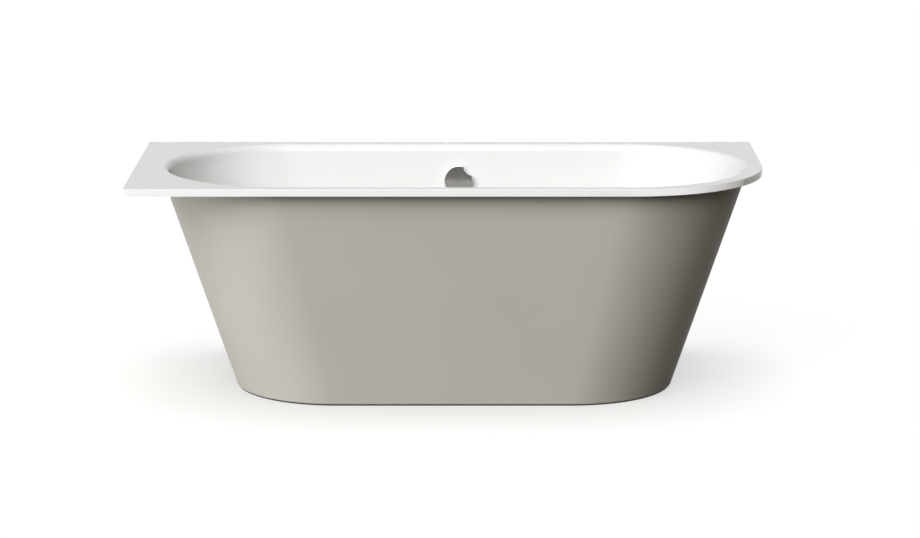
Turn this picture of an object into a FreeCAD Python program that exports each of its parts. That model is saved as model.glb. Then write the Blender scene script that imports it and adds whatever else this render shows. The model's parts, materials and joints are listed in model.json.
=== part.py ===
import FreeCAD
import Part
import math
import os

# Corner bath with one enamelled apron, adjustable feet and a turn-knob waste and overflow set.
# Millimetres. X runs along the bath, Y towards the wall behind it, Z up. The origin is on the
# floor, under the middle of the rim. The wall faces of the rim are its back and its left end.

# Rim
rim_length = 1700.0
rim_depth = 750.0
rim_height = 600.0
rim_skirt = 19.0
rim_margin = 28.0
rim_ledge = 73.0
rim_end_margin = 33.0
rim_round = 370.0
rim_corner = 4.0
rim_edge = 2.0
return_lip = 10.0
shell_wall = 3.0

# Basin
basin_depth = 430.0
basin_lip = 22.0
basin_lip_start = 6.0
side_slope = 11.0
end_slope = 25.0
floor_radius = 110.0
lip_stations = 5
floor_stations = 6

# Apron
apron_wall = 2.5
apron_top_gap = 10.0
apron_overhang = 30.0
apron_setback = 76.0
apron_shift = -6.0
apron_top_half = 795.0
apron_base_half = 595.0
apron_top_round = 345.0
apron_base_round = 280.0
apron_flange = 22.0
apron_wall_gap = 2.0
apron_notch = 12.0
seal_height = 4.0
seal_width = 12.0
stiffener_side_gap = 38.0
stiffener_crown = 20.0
stiffener_flange = 13.0
stiffener_depth = 14.0
stiffener_sheet = 1.5
stiffener_margin = 24.0
clip_side_gap = 88.0
clip_count = 4
clip_length = 30.0
clip_cheek = 4.0
clip_grip = 6.0
clip_foot = 10.0
clip_foot_thick = 3.0
clip_bevel_drop = 3.5
clip_side_y = 120.0
bracket_places = (-150.0, 150.0)
bracket_width = 40.0
bracket_foot = 40.0
bracket_sheet = 3.0
bracket_tab = 12.0
bracket_hole = 4.0
angle_leg = 25.0
angle_sheet = 2.0
angle_foot = 20.0
angle_head = 60.0
angle_hole = 2.5
angle_hole_heights = (140.0, 420.0)

# Feet and rails
rail_set_in = 261.0
rail_end = 22.0
rail_width = 40.0
rail_height = 25.0
rail_sheet = 2.0
rail_pad_height = 4.0
rail_pad_length = 90.0
rail_pad_place = 70.0
foot_gap = 24.0
foot_spindle = 6.0
foot_spindle_above = 12.0
foot_plate_radius = 28.0
foot_plate_height = 17.0
foot_neck_radius = 11.0
foot_rim_height = 5.0
foot_sole_height = 3.0
foot_sole_step = 2.0
foot_socket = 8.0
rail_nut_flats = 19.0
rail_nut_height = 10.0
lock_nut_height = 6.0

# Wall anchors and earth tab
anchor_width = 40.0
anchor_sheet = 3.0
anchor_drop = 34.0
anchor_hole = 4.0
anchor_hole_drop = 21.0
anchor_hook_rise = 12.0
back_anchor_spacing = 1100.0
left_anchor_spacing = 300.0
earth_tab_width = 20.0
earth_tab_sheet = 2.0
earth_tab_drop = 44.0
earth_tab_hole = 3.25
earth_tab_place = -480.0

# Sound pads
pad_sheet = 3.0
floor_pad_width = 250.0
floor_pad_waste_gap = 19.0
floor_pad_rail_gap = 30.0
wall_pad_length = 420.0
wall_pad_height = 170.0
wall_pad_drop = 215.0
back_pad_length = 230.0
back_pad_place = 215.0
pad_corner = 12.0

# Overflow set
overflow_drop = 98.0
overflow_hole = 26.0
overflow_seal_rim = 10.0
overflow_seal_thick = 3.0
overflow_flange_rim = 7.0
overflow_flange_thick = 4.0
flange_chamfer = 2.0
bush_radius = 8.0
slot_inner = 11.0
slot_outer = 24.0
slot_half_angle = 55.0
overflow_screw = 2.0
overflow_screw_place = 20.5
screw_head = 3.8
screw_head_height = 2.4
chamber_radius = 30.0
chamber_wall = 3.0
chamber_depth = 38.0
chamber_flange = 5.0
boss_wall = 2.5
knob_radius = 39.5
knob_gap = 8.0
knob_depth = 13.0
knob_plate = 4.0
knob_wall = 2.5
knob_edge = 1.6
knob_notch_radius = 29.0
knob_notch_place = 59.5
knob_notch_angle = 43.0
knob_hub = 8.0
spindle_radius = 4.0
drum_radius = 15.0
drum_groove = 2.0
drum_width = 9.0
drum_place = 26.0
grub_radius = 2.0

# Overflow pipe
pipe_radius = 16.0
pipe_wall = 2.4
pipe_bend = 75.0
spout_wall = 3.5
spout_drop = 62.0
spout_socket = 24.0
nut_wall = 4.0
nut_height = 20.0
nut_lip = 5.0
nut_rib = 1.6
nut_ribs = 10

# Waste set
waste_shift = 6.0
waste_hole = 26.0
waste_flange_radius = 41.0
waste_flange_thick = 2.5
waste_top_seal = 1.5
waste_seal_thick = 4.0
waste_seal_rim = 12.0
throat_wall = 3.0
throat_length = 19.0
seat_depth = 5.0
seat_flare = 4.0
web_height = 4.0
web_hub = 6.5
web_spoke = 3.0
web_spokes = 3
bowl_radius = 33.0
bowl_wall = 3.0
bowl_height = 59.0
bowl_flange = 5.0
collar_height = 15.0
outlet_spout = 20.0
inlet_rise = 24.0
inlet_reach = 58.0
plug_radius = 31.5
plug_rim_height = 2.0
plug_crown = 4.5
plug_seal_height = 2.5
plug_seal_width = 5.0
stem_radius = 4.0
plug_lift = 10.0

# Lift lever and cable
lever_arm = 17.0
lever_drop = 13.0
lever_thick = 6.0
lever_hub = 5.0
lever_tip = 3.0
lever_bar = 1.6
lever_rise = 22.0
lever_pin = 2.0
ear_thick = 5.0
ear_gap = 1.0
slider_radius = 2.5
port_wall = 3.5
port_reach = 52.0
cable_radius = 3.0
cable_port_reach = 42.0
cable_out = 130.0
cable_bend_top = 40.0
cable_bend_low = 80.0
cable_bend_end = 34.0
ferrule_wall = 1.8
ferrule_length = 14.0

# Trap
trap_radius = 20.0
trap_wall = 2.5
trap_bend = 30.0
trap_leg = 18.0
trap_collar = 2.5
trap_collar_height = 4.0
trap_seal = 2.0
outlet_bend = 30.0
outlet_end = 292.0
spigot_length = 50.0
spigot_ring = 2.0
spigot_ring_width = 4.0
clean_cap_radius = 13.0
clean_cap_height = 5.0
clean_boss = 8.0

# Clearances
seat = 0.05
running = 0.05
slack = 0.3
bond = 0.2

Vec = FreeCAD.Vector
UP = Vec(0, 0, 1)
ALONG = Vec(1, 0, 0)
TO_WALL = Vec(0, 1, 0)

# Values that follow from the sizes above
basin_x = (rim_ledge - rim_end_margin) / 2
basin_half = (rim_length - rim_ledge - rim_end_margin) / 2
waste_x = basin_x + waste_shift
apron_x = basin_x + apron_shift
basin_half_width = rim_depth / 2 - rim_margin
front_y = -rim_depth / 2
back_y = rim_depth / 2
skirt_z = rim_height - rim_skirt
plate_under_z = rim_height - shell_wall
floor_z = rim_height - basin_depth
under_z = floor_z - shell_wall
wall_angle = 90.0 - side_slope
end_angle = 90.0 - end_slope
end_stretch = math.tan(math.radians(end_slope)) / math.tan(math.radians(side_slope))
apron_top_z = plate_under_z - apron_top_gap
apron_flat_top = apron_top_half - apron_top_round
apron_flat_base = apron_base_half - apron_base_round
stiffener_brim = stiffener_crown / 2 + stiffener_flange
stiffener_reach = apron_flat_base - stiffener_side_gap - stiffener_brim
clip_reach = apron_flat_top - clip_side_gap
clip_places = [clip_reach * (2 * k / (clip_count - 1) - 1) for k in range(clip_count)]
rail_spacing = 2 * (apron_base_half - rail_set_in)
foot_spacing = -2 * (front_y + apron_setback + apron_flange + foot_gap + foot_plate_radius)
rail_length = foot_spacing + 2 * rail_end
floor_pad_start = waste_flange_radius + floor_pad_waste_gap
floor_pad_end = (rail_spacing - rail_width) / 2 - floor_pad_rail_gap


def line(start, end):
    """Straight edge between two points."""
    return Part.LineSegment(start, end).toShape()


def plan_arc(center_x, center_y, radius, start, sweep, z):
    """Level arc about a centre, from a start angle through a sweep in degrees."""
    angles = [math.radians(start + sweep * share) for share in (0.0, 0.5, 1.0)]
    points = [Vec(center_x + radius * math.cos(a), center_y + radius * math.sin(a), z) for a in angles]
    return Part.Arc(*points).toShape()


def plate(points):
    """Flat face inside a closed run of points."""
    return Part.Face(Part.makePolygon(points + [points[0]]))


def post(radius, length, base, direction=UP):
    """Round solid of a given length."""
    return Part.makeCylinder(radius, length, base, direction)


def turned(profile):
    """Solid turned about Z from a closed profile of radius and height pairs."""
    face = plate([Vec(radius, 0, height) for radius, height in profile])
    return face.revolve(Vec(0, 0, 0), UP, 360)


def ring(outer, inner, low, high):
    """Flat ring about Z between two heights."""
    return turned([(inner, low), (outer, low), (outer, high), (inner, high)])


def moved(shape, offset):
    """Copy of a shape carried by an offset."""
    copy = shape.copy()
    copy.translate(offset)
    return copy


def set_in(shape, placement):
    """Copy of a shape built about the origin, carried into a local frame."""
    copy = shape.copy()
    copy.Placement = placement.multiply(copy.Placement)
    return copy


def hexagon(flats, height, bore, base):
    """Hexagon nut with a plain bore."""
    reach = flats / math.sqrt(3)
    corners = [Vec(reach * math.cos(math.pi * k / 3), reach * math.sin(math.pi * k / 3), 0) for k in range(6)]
    nut = plate(corners).extrude(Vec(0, 0, height))
    return moved(nut.cut(post(bore, height, Vec(0, 0, 0))), base)


def route(points, radii):
    """Wire of straight runs through points, with a tangent arc at each inner point."""
    edges = []
    start = points[0]
    for before, corner, after, radius in zip(points, points[1:], points[2:], radii):
        back = (before - corner).normalize()
        ahead = (after - corner).normalize()
        half = math.acos(max(-1.0, min(1.0, back.dot(ahead)))) / 2
        reach = radius / math.tan(half)
        entry = corner + back * reach
        leave = corner + ahead * reach
        inward = (back + ahead).normalize()
        middle = corner + inward * (radius / math.sin(half) - radius)
        edges.append(line(start, entry))
        edges.append(Part.Arc(entry, middle, leave).toShape())
        start = leave
    edges.append(line(start, points[-1]))
    return Part.Wire(edges)


def rod(path, radius):
    """Round bar along a wire of runs and arcs."""
    first = path.OrderedEdges[0]
    start = first.FirstParameter
    circle = Part.makeCircle(radius, first.valueAt(start), first.tangentAt(start))
    return path.makePipeShell([Part.Wire(circle)], True, False)


def pipe(path, radius, wall):
    """Open tube along a wire of runs and arcs."""
    return rod(path, radius).cut(rod(path, radius - wall))


# Bath shell


def rim_wire(inset, z):
    """Rim outline, drawn in by an inset: square to the walls, one round corner at the free front end."""
    left = -rim_length / 2 + inset
    right = rim_length / 2 - inset
    front = front_y + inset
    back = back_y - inset
    small = max(rim_corner - inset, rim_edge / 2)
    large = rim_round - inset
    edges = [
        plan_arc(left + small, front + small, small, 180, 90, z),
        line(Vec(left + small, front, z), Vec(right - large, front, z)),
        plan_arc(right - large, front + large, large, 270, 90, z),
        line(Vec(right, front + large, z), Vec(right, back - small, z)),
        plan_arc(right - small, back - small, small, 0, 90, z),
        line(Vec(right - small, back, z), Vec(left + small, back, z)),
        plan_arc(left + small, back - small, small, 90, 90, z),
        line(Vec(left, back - small, z), Vec(left, front + small, z)),
    ]
    return Part.Wire(edges)


def rim_slab(inset, low, high):
    """Solid over the rim outline between two heights."""
    return Part.Face(rim_wire(inset, low)).extrude(Vec(0, 0, high - low))


def lip_stations_list():
    """Inset, drop and turn of the stations down the rounded lip of the long side."""
    turn = wall_angle - basin_lip_start
    level = math.cos(math.radians(basin_lip_start))
    angles = [basin_lip_start + turn * k / (lip_stations - 1) for k in range(lip_stations)]
    return [
        (basin_lip * math.sin(math.radians(a)), basin_lip * (level - math.cos(math.radians(a))), a)
        for a in angles
    ]


def wall_inset(drop):
    """Inset of the long side's flat wall at a drop below the rim."""
    inset, start = lip_stations_list()[-1][:2]
    return inset + (drop - start) * math.tan(math.radians(side_slope))


def floor_stations_list():
    """Inset, drop and turn of the stations round the curve from wall to floor."""
    wall = math.radians(wall_angle)
    start_drop = basin_depth - floor_radius * (1 - math.cos(wall))
    center = wall_inset(start_drop) + floor_radius * math.sin(wall)
    angles = [wall_angle * (1 - k / (floor_stations - 1)) for k in range(floor_stations)]
    return [
        (
            center - floor_radius * math.sin(math.radians(a)),
            basin_depth - floor_radius * (1 - math.cos(math.radians(a))),
            a,
        )
        for a in angles
    ]


def end_station(inset, drop, angle):
    """Inset and turn of the round ends at a station of the long side: the same lip, then a flatter wall."""
    lip_inset, lip_drop = lip_stations_list()[-1][:2]
    level = math.cos(math.radians(basin_lip_start))
    lip_turn = math.acos(max(level - drop / basin_lip, math.cos(math.radians(end_angle))))
    lip_end = basin_lip * (level - math.cos(lip_turn))
    reach = basin_lip * math.sin(lip_turn)
    reach += (min(drop, lip_drop) - lip_end) * math.tan(math.radians(end_slope))
    if drop <= lip_drop:
        return reach, lip_turn
    return reach + end_stretch * (inset - lip_inset), math.atan(math.tan(math.radians(angle)) / end_stretch)


def basin_wire(inset, drop, angle, skin):
    """Level basin section: straight sides with half-round ends, pushed out by the skin."""
    turn = math.radians(angle)
    end_inset, end_turn = end_station(inset, drop, angle)
    end_skin = 0.0
    if angle > 0:
        end_skin = skin * (1 - math.cos(turn) * math.cos(end_turn)) / math.sin(end_turn)
    half_width = basin_half_width - inset + skin * math.sin(turn)
    half_length = basin_half - end_inset + end_skin
    z = rim_height - drop - skin * math.cos(turn)
    right = basin_x + half_length - half_width
    left = basin_x - half_length + half_width
    edges = [
        plan_arc(right, 0, half_width, -90, 90, z),
        plan_arc(right, 0, half_width, 0, 90, z),
        line(Vec(right, half_width, z), Vec(left, half_width, z)),
        plan_arc(left, 0, half_width, 90, 90, z),
        plan_arc(left, 0, half_width, 180, 90, z),
        line(Vec(left, -half_width, z), Vec(right, -half_width, z)),
    ]
    return Part.Wire(edges)


def basin_form(skin):
    """Solid form of the basin: rounded lip, leaning walls and the curve into the floor."""
    lip = lip_stations_list()
    floor = floor_stations_list()
    mouth = Part.Face(basin_wire(*lip[0], skin)).extrude(Vec(0, 0, shell_wall / 2))
    upper = Part.makeLoft([basin_wire(*station, skin) for station in lip], True, False)
    walls = Part.makeLoft([basin_wire(*lip[-1], skin), basin_wire(*floor[0], skin)], True, True)
    lower = Part.makeLoft([basin_wire(*station, skin) for station in floor], True, False)
    return upper.fuse([mouth, walls, lower])


overflow_y = basin_half_width - wall_inset(overflow_drop)
overflow_z = rim_height - overflow_drop
overflow_frame = FreeCAD.Placement(
    Vec(waste_x, overflow_y, overflow_z), FreeCAD.Rotation(ALONG, wall_angle)
)
recess_depth = waste_flange_thick + waste_top_seal
recess_z = floor_z - recess_depth
recess_under_z = recess_z - shell_wall
drain = Vec(waste_x, 0, 0)


def bath_shell():
    """Pressed shell: rim with a turned-under skirt, basin, waste recess and two holes."""
    block = rim_slab(0, skirt_z, rim_height)
    top_edges = [e for e in block.Edges if min(v.Z for v in e.Vertexes) > rim_height - seat]
    rim = block.makeFillet(rim_edge, top_edges)
    rim = rim.cut(rim_slab(shell_wall, skirt_z + shell_wall, plate_under_z))
    rim = rim.cut(rim_slab(return_lip, skirt_z, skirt_z + shell_wall))
    recess = waste_flange_radius + 2 * slack
    cup = post(recess + shell_wall, recess_depth + shell_wall, drain + UP * recess_under_z)
    shell = rim.fuse([basin_form(shell_wall), cup]).cut(basin_form(0.0))
    shell = shell.cut(post(recess, recess_depth + shell_wall, drain + UP * recess_z))
    shell = shell.cut(post(waste_hole, basin_depth, drain + UP * (recess_z - recess_depth - shell_wall)))
    hole = post(overflow_hole, 4 * shell_wall, Vec(0, 0, -2 * shell_wall))
    return shell.cut(set_in(hole, overflow_frame))


# Apron


def apron_share(z):
    """Share of the way from the apron's base to its top edge."""
    return (z - seal_height) / (apron_top_z - seal_height)


def apron_half(z):
    """Half length of the apron's outer face at a height."""
    return apron_base_half + (apron_top_half - apron_base_half) * apron_share(z)


def apron_front(z):
    """Front of the apron's outer face at a height."""
    base = front_y + apron_setback
    top = front_y + apron_overhang
    return base + (top - base) * apron_share(z)


def apron_line(inset, z):
    """Edges of the apron's plan outline, from the left wall end round the front to the right one."""
    radius = apron_base_round + (apron_top_round - apron_base_round) * apron_share(z) - inset
    left = apron_x - apron_half(z) + inset
    right = apron_x + apron_half(z) - inset
    front = apron_front(z) + inset
    back = back_y - apron_wall_gap
    return [
        line(Vec(left, back, z), Vec(left, front + radius, z)),
        plan_arc(left + radius, front + radius, radius, 180, 90, z),
        line(Vec(left + radius, front, z), Vec(right - radius, front, z)),
        plan_arc(right - radius, front + radius, radius, 270, 90, z),
        line(Vec(right, front + radius, z), Vec(right, back, z)),
    ]


def apron_strip(outer, inner, z):
    """Closed wire between two insets of the apron's outline."""
    near = apron_line(outer, z)
    far = apron_line(inner, z)
    left = line(near[0].Vertexes[0].Point, far[0].Vertexes[0].Point)
    right = line(near[-1].Vertexes[-1].Point, far[-1].Vertexes[-1].Point)
    return Part.Wire(Part.sortEdges(near + far + [left, right])[0])


def apron_panel():
    """Leaning panel round the front and both ends, with a base flange and notches under the rim."""
    panel = Part.makeLoft(
        [apron_strip(0, apron_wall, seal_height), apron_strip(0, apron_wall, apron_top_z)], True, True
    )
    flange = Part.Face(apron_strip(apron_wall / 2, apron_flange, seal_height)).extrude(Vec(0, 0, apron_wall))
    notch_low = skirt_z - anchor_sheet
    notch = Part.makeBox(
        rim_length, apron_notch + return_lip, rim_height - notch_low,
        Vec(-rim_length / 2, back_y - apron_notch - return_lip, notch_low),
    )
    return panel.fuse(flange).cut(notch)


def apron_base_seal():
    """Soft strip between the apron's flange and the floor."""
    return Part.Face(apron_strip(apron_wall, apron_wall + seal_width, 0)).extrude(Vec(0, 0, seal_height))


def hat_wire(x, z):
    """Hat section of a stiffener at a height, with its brim on the apron's inner face."""
    y = apron_front(z) + apron_wall
    crown = stiffener_crown / 2
    brim = stiffener_brim
    sheet = stiffener_sheet
    deep = stiffener_depth
    outline = [
        (-brim, 0), (-crown + sheet, 0), (-crown + sheet, deep - sheet), (crown - sheet, deep - sheet),
        (crown - sheet, 0), (brim, 0), (brim, sheet), (crown, sheet), (crown, deep), (-crown, deep),
        (-crown, sheet), (-brim, sheet),
    ]
    points = [Vec(apron_x + x + across, y + inward, z) for across, inward in outline]
    return Part.makePolygon(points + [points[0]])


def apron_stiffeners():
    """Folded hat ribs behind the flat front of the apron."""
    low = seal_height + apron_wall + stiffener_margin
    high = apron_top_z - stiffener_margin
    places = (-stiffener_reach, 0.0, stiffener_reach)
    ribs = [Part.makeLoft([hat_wire(x, low), hat_wire(x, high)], True, True) for x in places]
    return Part.makeCompound(ribs)


def clip(lean, flat_end):
    """Clip with a slot open downwards, about the middle of the apron's wall at its top edge.

    Its foot points outwards. Its roof slopes down under the basin's lip from the end of the flat rim.
    """
    grip_z = apron_top_z - clip_grip
    foot_z = plate_under_z - clip_foot_thick
    half_slot = (apron_wall + lean * clip_grip) / 2 + slack
    half = half_slot + clip_cheek
    outline = [
        (-half, grip_z), (-half_slot, grip_z), (-half_slot, apron_top_z + slack),
        (half_slot, apron_top_z + slack), (half_slot, grip_z), (half, grip_z),
        (half, plate_under_z - clip_bevel_drop), (flat_end, plate_under_z),
        (-half - clip_foot, plate_under_z), (-half - clip_foot, foot_z), (-half, foot_z),
    ]
    face = plate([Vec(-clip_length / 2, across, z) for across, z in outline])
    return face.extrude(Vec(clip_length, 0, 0))


def apron_clips():
    """Clips bonded under the rim that hold the apron's top edge."""
    middle_z = apron_top_z - clip_grip / 2
    rise = apron_top_z - seal_height
    front_lean = (apron_setback - apron_overhang) / rise
    end_lean = (apron_top_half - apron_base_half) / rise
    y = apron_front(middle_z) + apron_wall / 2
    flat_end = -basin_half_width - y
    clips = [moved(clip(front_lean, flat_end), Vec(apron_x + x, y, 0)) for x in clip_places]
    reach = apron_half(middle_z) - apron_wall / 2
    for side in (-1, 1):
        turn = FreeCAD.Placement(Vec(0, 0, 0), FreeCAD.Rotation(UP, 90 * side))
        turned_clip = set_in(clip(end_lean, flat_end), turn)
        clips.append(moved(turned_clip, Vec(apron_x + side * reach, clip_side_y, 0)))
    return Part.makeCompound(clips)


def floor_bracket(place):
    """Bracket screwed to the floor behind the apron, with a tab over the apron's flange."""
    inner = apron_front(seal_height) + apron_flange + slack
    tab_z = seal_height + apron_wall + slack
    outline = [
        (inner, 0), (inner + bracket_foot, 0), (inner + bracket_foot, bracket_sheet),
        (inner + bracket_sheet, bracket_sheet), (inner + bracket_sheet, tab_z + bracket_sheet),
        (inner - bracket_tab, tab_z + bracket_sheet), (inner - bracket_tab, tab_z), (inner, tab_z),
    ]
    x = apron_x + place - bracket_width / 2
    body = plate([Vec(x, y, z) for y, z in outline]).extrude(Vec(bracket_width, 0, 0))
    hole_y = inner + (bracket_foot + bracket_sheet) / 2
    return body.cut(post(bracket_hole, bracket_sheet, Vec(apron_x + place, hole_y, 0)))


def angle_wire(side, z):
    """Angle section in the corner between an apron end and the wall."""
    face = apron_x + side * (apron_half(z) - apron_wall)
    back = back_y - apron_wall_gap
    outline = [
        (0, back), (angle_leg, back), (angle_leg, back - angle_sheet), (angle_sheet, back - angle_sheet),
        (angle_sheet, back - angle_leg), (0, back - angle_leg),
    ]
    points = [Vec(face - side * inward, y, z) for inward, y in outline]
    return Part.makePolygon(points + [points[0]])


def apron_wall_angles():
    """Leaning angles that tie the apron's two ends to the wall, with screw holes."""
    low = seal_height + apron_wall + angle_foot
    high = apron_top_z - angle_head
    angles = []
    for side in (-1, 1):
        angle = Part.makeLoft([angle_wire(side, low), angle_wire(side, high)], True, True)
        for height in angle_hole_heights:
            middle = (angle_leg + angle_sheet) / 2
            x = apron_x + side * (apron_half(height) - apron_wall - middle)
            start = Vec(x, back_y - apron_wall_gap - 2 * angle_sheet, height)
            angle = angle.cut(post(angle_hole, 3 * angle_sheet, start, TO_WALL))
        angles.append(angle)
    return Part.makeCompound(angles)


# Feet

rail_top_z = under_z - rail_pad_height
web_z = rail_top_z - rail_sheet
rail_nut_z = web_z - rail_nut_height
lock_nut_z = rail_nut_z - slack - lock_nut_height
foot_places = {
    "front_left": (apron_x - rail_spacing / 2, -foot_spacing / 2),
    "front_right": (apron_x + rail_spacing / 2, -foot_spacing / 2),
    "back_left": (apron_x - rail_spacing / 2, foot_spacing / 2),
    "back_right": (apron_x + rail_spacing / 2, foot_spacing / 2),
}


def foot_rail(side):
    """Channel across the underside, open downwards, with a clearance hole for each foot."""
    half = rail_width / 2
    low = rail_top_z - rail_height
    outline = [
        (-half, low), (-half + rail_sheet, low), (-half + rail_sheet, web_z), (half - rail_sheet, web_z),
        (half - rail_sheet, low), (half, low), (half, rail_top_z), (-half, rail_top_z),
    ]
    x = apron_x + side * rail_spacing / 2
    face = plate([Vec(x + across, -rail_length / 2, z) for across, z in outline])
    rail = face.extrude(Vec(0, rail_length, 0))
    for end in (-1, 1):
        base = Vec(x, end * foot_spacing / 2, web_z)
        rail = rail.cut(post(foot_spindle + slack, rail_sheet, base))
    return rail


def rail_pads():
    """Bonding pads between the rails and the bath floor."""
    pads = []
    for side in (-1, 1):
        for end in (-1, 1):
            corner = Vec(
                apron_x + side * rail_spacing / 2 - rail_width / 2,
                end * rail_pad_place - rail_pad_length / 2,
                rail_top_z,
            )
            pads.append(Part.makeBox(rail_width, rail_pad_length, rail_pad_height - bond, corner))
    return Part.makeCompound(pads)


def foot_nuts(height, z):
    """One nut on each foot spindle, at a height."""
    bore = foot_spindle + running
    bases = [Vec(*place, z) for place in foot_places.values()]
    return Part.makeCompound([hexagon(rail_nut_flats, height, bore, base) for base in bases])


def foot_spindle_bar(place):
    """Spindle that stands in the foot plate and turns up through the rail."""
    base_z = foot_sole_height + foot_plate_height - foot_socket
    return post(foot_spindle, rail_top_z + foot_spindle_above - base_z, Vec(*place, base_z))


def foot_plate(place):
    """Round plate foot with a neck and a socket for the spindle."""
    low = foot_sole_height
    high = low + foot_plate_height
    bore = foot_spindle + seat
    floor = high - foot_socket
    profile = [
        (0, low), (foot_plate_radius, low), (foot_plate_radius, low + foot_rim_height),
        (foot_neck_radius, high), (bore, high), (bore, floor), (0, floor),
    ]
    return moved(turned(profile), Vec(*place, 0))


def foot_sole(place):
    """Soft sole under the foot plate."""
    return post(foot_plate_radius - foot_sole_step, foot_sole_height, Vec(*place, 0))


# Wall anchors and earth tab


def anchor():
    """Anchor hooked under the turned-in lip of the rim, with its plate on the wall at local Y zero."""
    inner = return_lip + slack
    outline = [
        (0, skirt_z), (0, skirt_z - anchor_drop), (-anchor_sheet, skirt_z - anchor_drop),
        (-anchor_sheet, skirt_z - anchor_sheet), (-inner - anchor_sheet, skirt_z - anchor_sheet),
        (-inner - anchor_sheet, skirt_z + anchor_hook_rise), (-inner, skirt_z + anchor_hook_rise),
        (-inner, skirt_z),
    ]
    face = plate([Vec(-anchor_width / 2, y, z) for y, z in outline])
    body = face.extrude(Vec(anchor_width, 0, 0))
    start = Vec(0, -2 * anchor_sheet, skirt_z - anchor_hole_drop)
    return body.cut(post(anchor_hole, 3 * anchor_sheet, start, TO_WALL))


def back_anchors():
    """Two anchors for the wall behind the bath."""
    half = back_anchor_spacing / 2
    return Part.makeCompound([moved(anchor(), Vec(side * half, back_y, 0)) for side in (-1, 1)])


def left_anchors():
    """Two anchors for the wall at the left end."""
    half = left_anchor_spacing / 2
    turn = FreeCAD.Placement(Vec(-rim_length / 2, 0, 0), FreeCAD.Rotation(UP, 90))
    return Part.makeCompound([moved(set_in(anchor(), turn), Vec(0, side * half, 0)) for side in (-1, 1)])


def earth_tab():
    """Tab under the rim for the bonding wire."""
    middle = (basin_half_width - basin_lip + shell_wall + back_y - return_lip) / 2
    x = basin_x + earth_tab_place
    corner = Vec(x - earth_tab_width / 2, middle, plate_under_z - earth_tab_drop)
    tab = Part.makeBox(earth_tab_width, earth_tab_sheet, earth_tab_drop, corner)
    hole_z = plate_under_z - earth_tab_drop + earth_tab_width / 2
    start = Vec(x, middle - earth_tab_sheet, hole_z)
    return tab.cut(post(earth_tab_hole, 3 * earth_tab_sheet, start, TO_WALL))


# Sound pads


def soft_sheet(length, width):
    """Flat pad with round corners, lying on local Z zero."""
    block = Part.makeBox(length, width, pad_sheet, Vec(-length / 2, -width / 2, 0))
    upright = [e for e in block.Edges if abs(e.Vertexes[0].Z - e.Vertexes[-1].Z) > pad_sheet / 2]
    return block.makeFillet(pad_corner, upright)


def floor_pads():
    """Pads bonded under the bath floor, either side of the waste."""
    z = under_z - bond - pad_sheet
    place = (floor_pad_start + floor_pad_end) / 2
    sheet = soft_sheet(floor_pad_end - floor_pad_start, floor_pad_width)
    return Part.makeCompound([moved(sheet, Vec(basin_x + side * place, 0, z)) for side in (-1, 1)])


def wall_pads():
    """Pads bonded to the hidden faces of the two long walls."""
    y = basin_half_width - wall_inset(wall_pad_drop)
    z = rim_height - wall_pad_drop
    outside = Vec(0, 0, -shell_wall - bond - pad_sheet)
    back = FreeCAD.Placement(Vec(waste_x, y, z), FreeCAD.Rotation(ALONG, wall_angle))
    front = FreeCAD.Placement(Vec(basin_x, -y, z), FreeCAD.Rotation(ALONG, -wall_angle))
    pads = [set_in(moved(soft_sheet(wall_pad_length, wall_pad_height), outside), front)]
    for side in (-1, 1):
        sheet = soft_sheet(back_pad_length, wall_pad_height)
        pads.append(set_in(moved(sheet, outside + ALONG * side * back_pad_place), back))
    return Part.makeCompound(pads)


# Overflow set, built about the wall's inner face with local Z into the basin

body_face = -shell_wall - overflow_seal_thick
chamber_back = body_face - chamber_depth
chamber_floor = chamber_back + chamber_wall
knob_front = knob_gap + knob_depth
bush_top = knob_gap - slack
spindle_back = chamber_floor + slack
drum_low = -drum_place - drum_width / 2
spout_bore = pipe_radius + seat
spout_radius = spout_bore + spout_wall
outlet_depth = -body_face + chamber_depth / 2
pipe_y = overflow_y + outlet_depth * math.cos(math.radians(side_slope))
spout_top_z = overflow_z - outlet_depth * math.sin(math.radians(side_slope))
spout_end_z = overflow_z - spout_drop
cable_line = drum_radius - drum_groove


def overflow_flange():
    """Ring on the basin wall with water slots and the bush for the knob's spindle."""
    radius = overflow_hole + overflow_flange_rim
    bore = spindle_radius + running
    flange = turned([
        (bore, 0), (radius, 0), (radius, overflow_flange_thick / 2),
        (radius - flange_chamfer, overflow_flange_thick), (bush_radius, overflow_flange_thick),
        (bush_radius, bush_top), (bore, bush_top),
    ])
    sweep = 2 * slot_half_angle
    sector = Part.makeCylinder(slot_outer, overflow_flange_thick, Vec(0, 0, 0), UP, sweep)
    sector = sector.cut(post(slot_inner, overflow_flange_thick, Vec(0, 0, 0)))
    for start in (90 - slot_half_angle, 270 - slot_half_angle):
        turn = FreeCAD.Placement(Vec(0, 0, 0), FreeCAD.Rotation(UP, start))
        flange = flange.cut(set_in(sector, turn))
    for side in (-1, 1):
        hole = Vec(side * overflow_screw_place, 0, 0)
        flange = flange.cut(post(overflow_screw + seat, overflow_flange_thick, hole))
    return set_in(flange, overflow_frame)


def overflow_screws():
    """Two screws that draw the flange and the chamber together on the wall."""
    length = -chamber_floor + overflow_flange_thick - slack - chamber_wall
    screws = []
    for side in (-1, 1):
        at = Vec(side * overflow_screw_place, 0, overflow_flange_thick)
        shank = post(overflow_screw, length, at - UP * length)
        screws.append(set_in(shank.fuse(post(screw_head, screw_head_height, at)), overflow_frame))
    return Part.makeCompound(screws)


def overflow_seal():
    """Soft ring between the basin wall and the chamber."""
    seal = ring(overflow_hole + overflow_seal_rim, overflow_hole + slack, body_face, -shell_wall - slack / 2)
    return set_in(seal, overflow_frame)


def cable_port():
    """Place where the cable leaves the chamber, level with the drum's lower side."""
    return overflow_frame.multVec(Vec(0, -cable_line, -drum_place))


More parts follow.
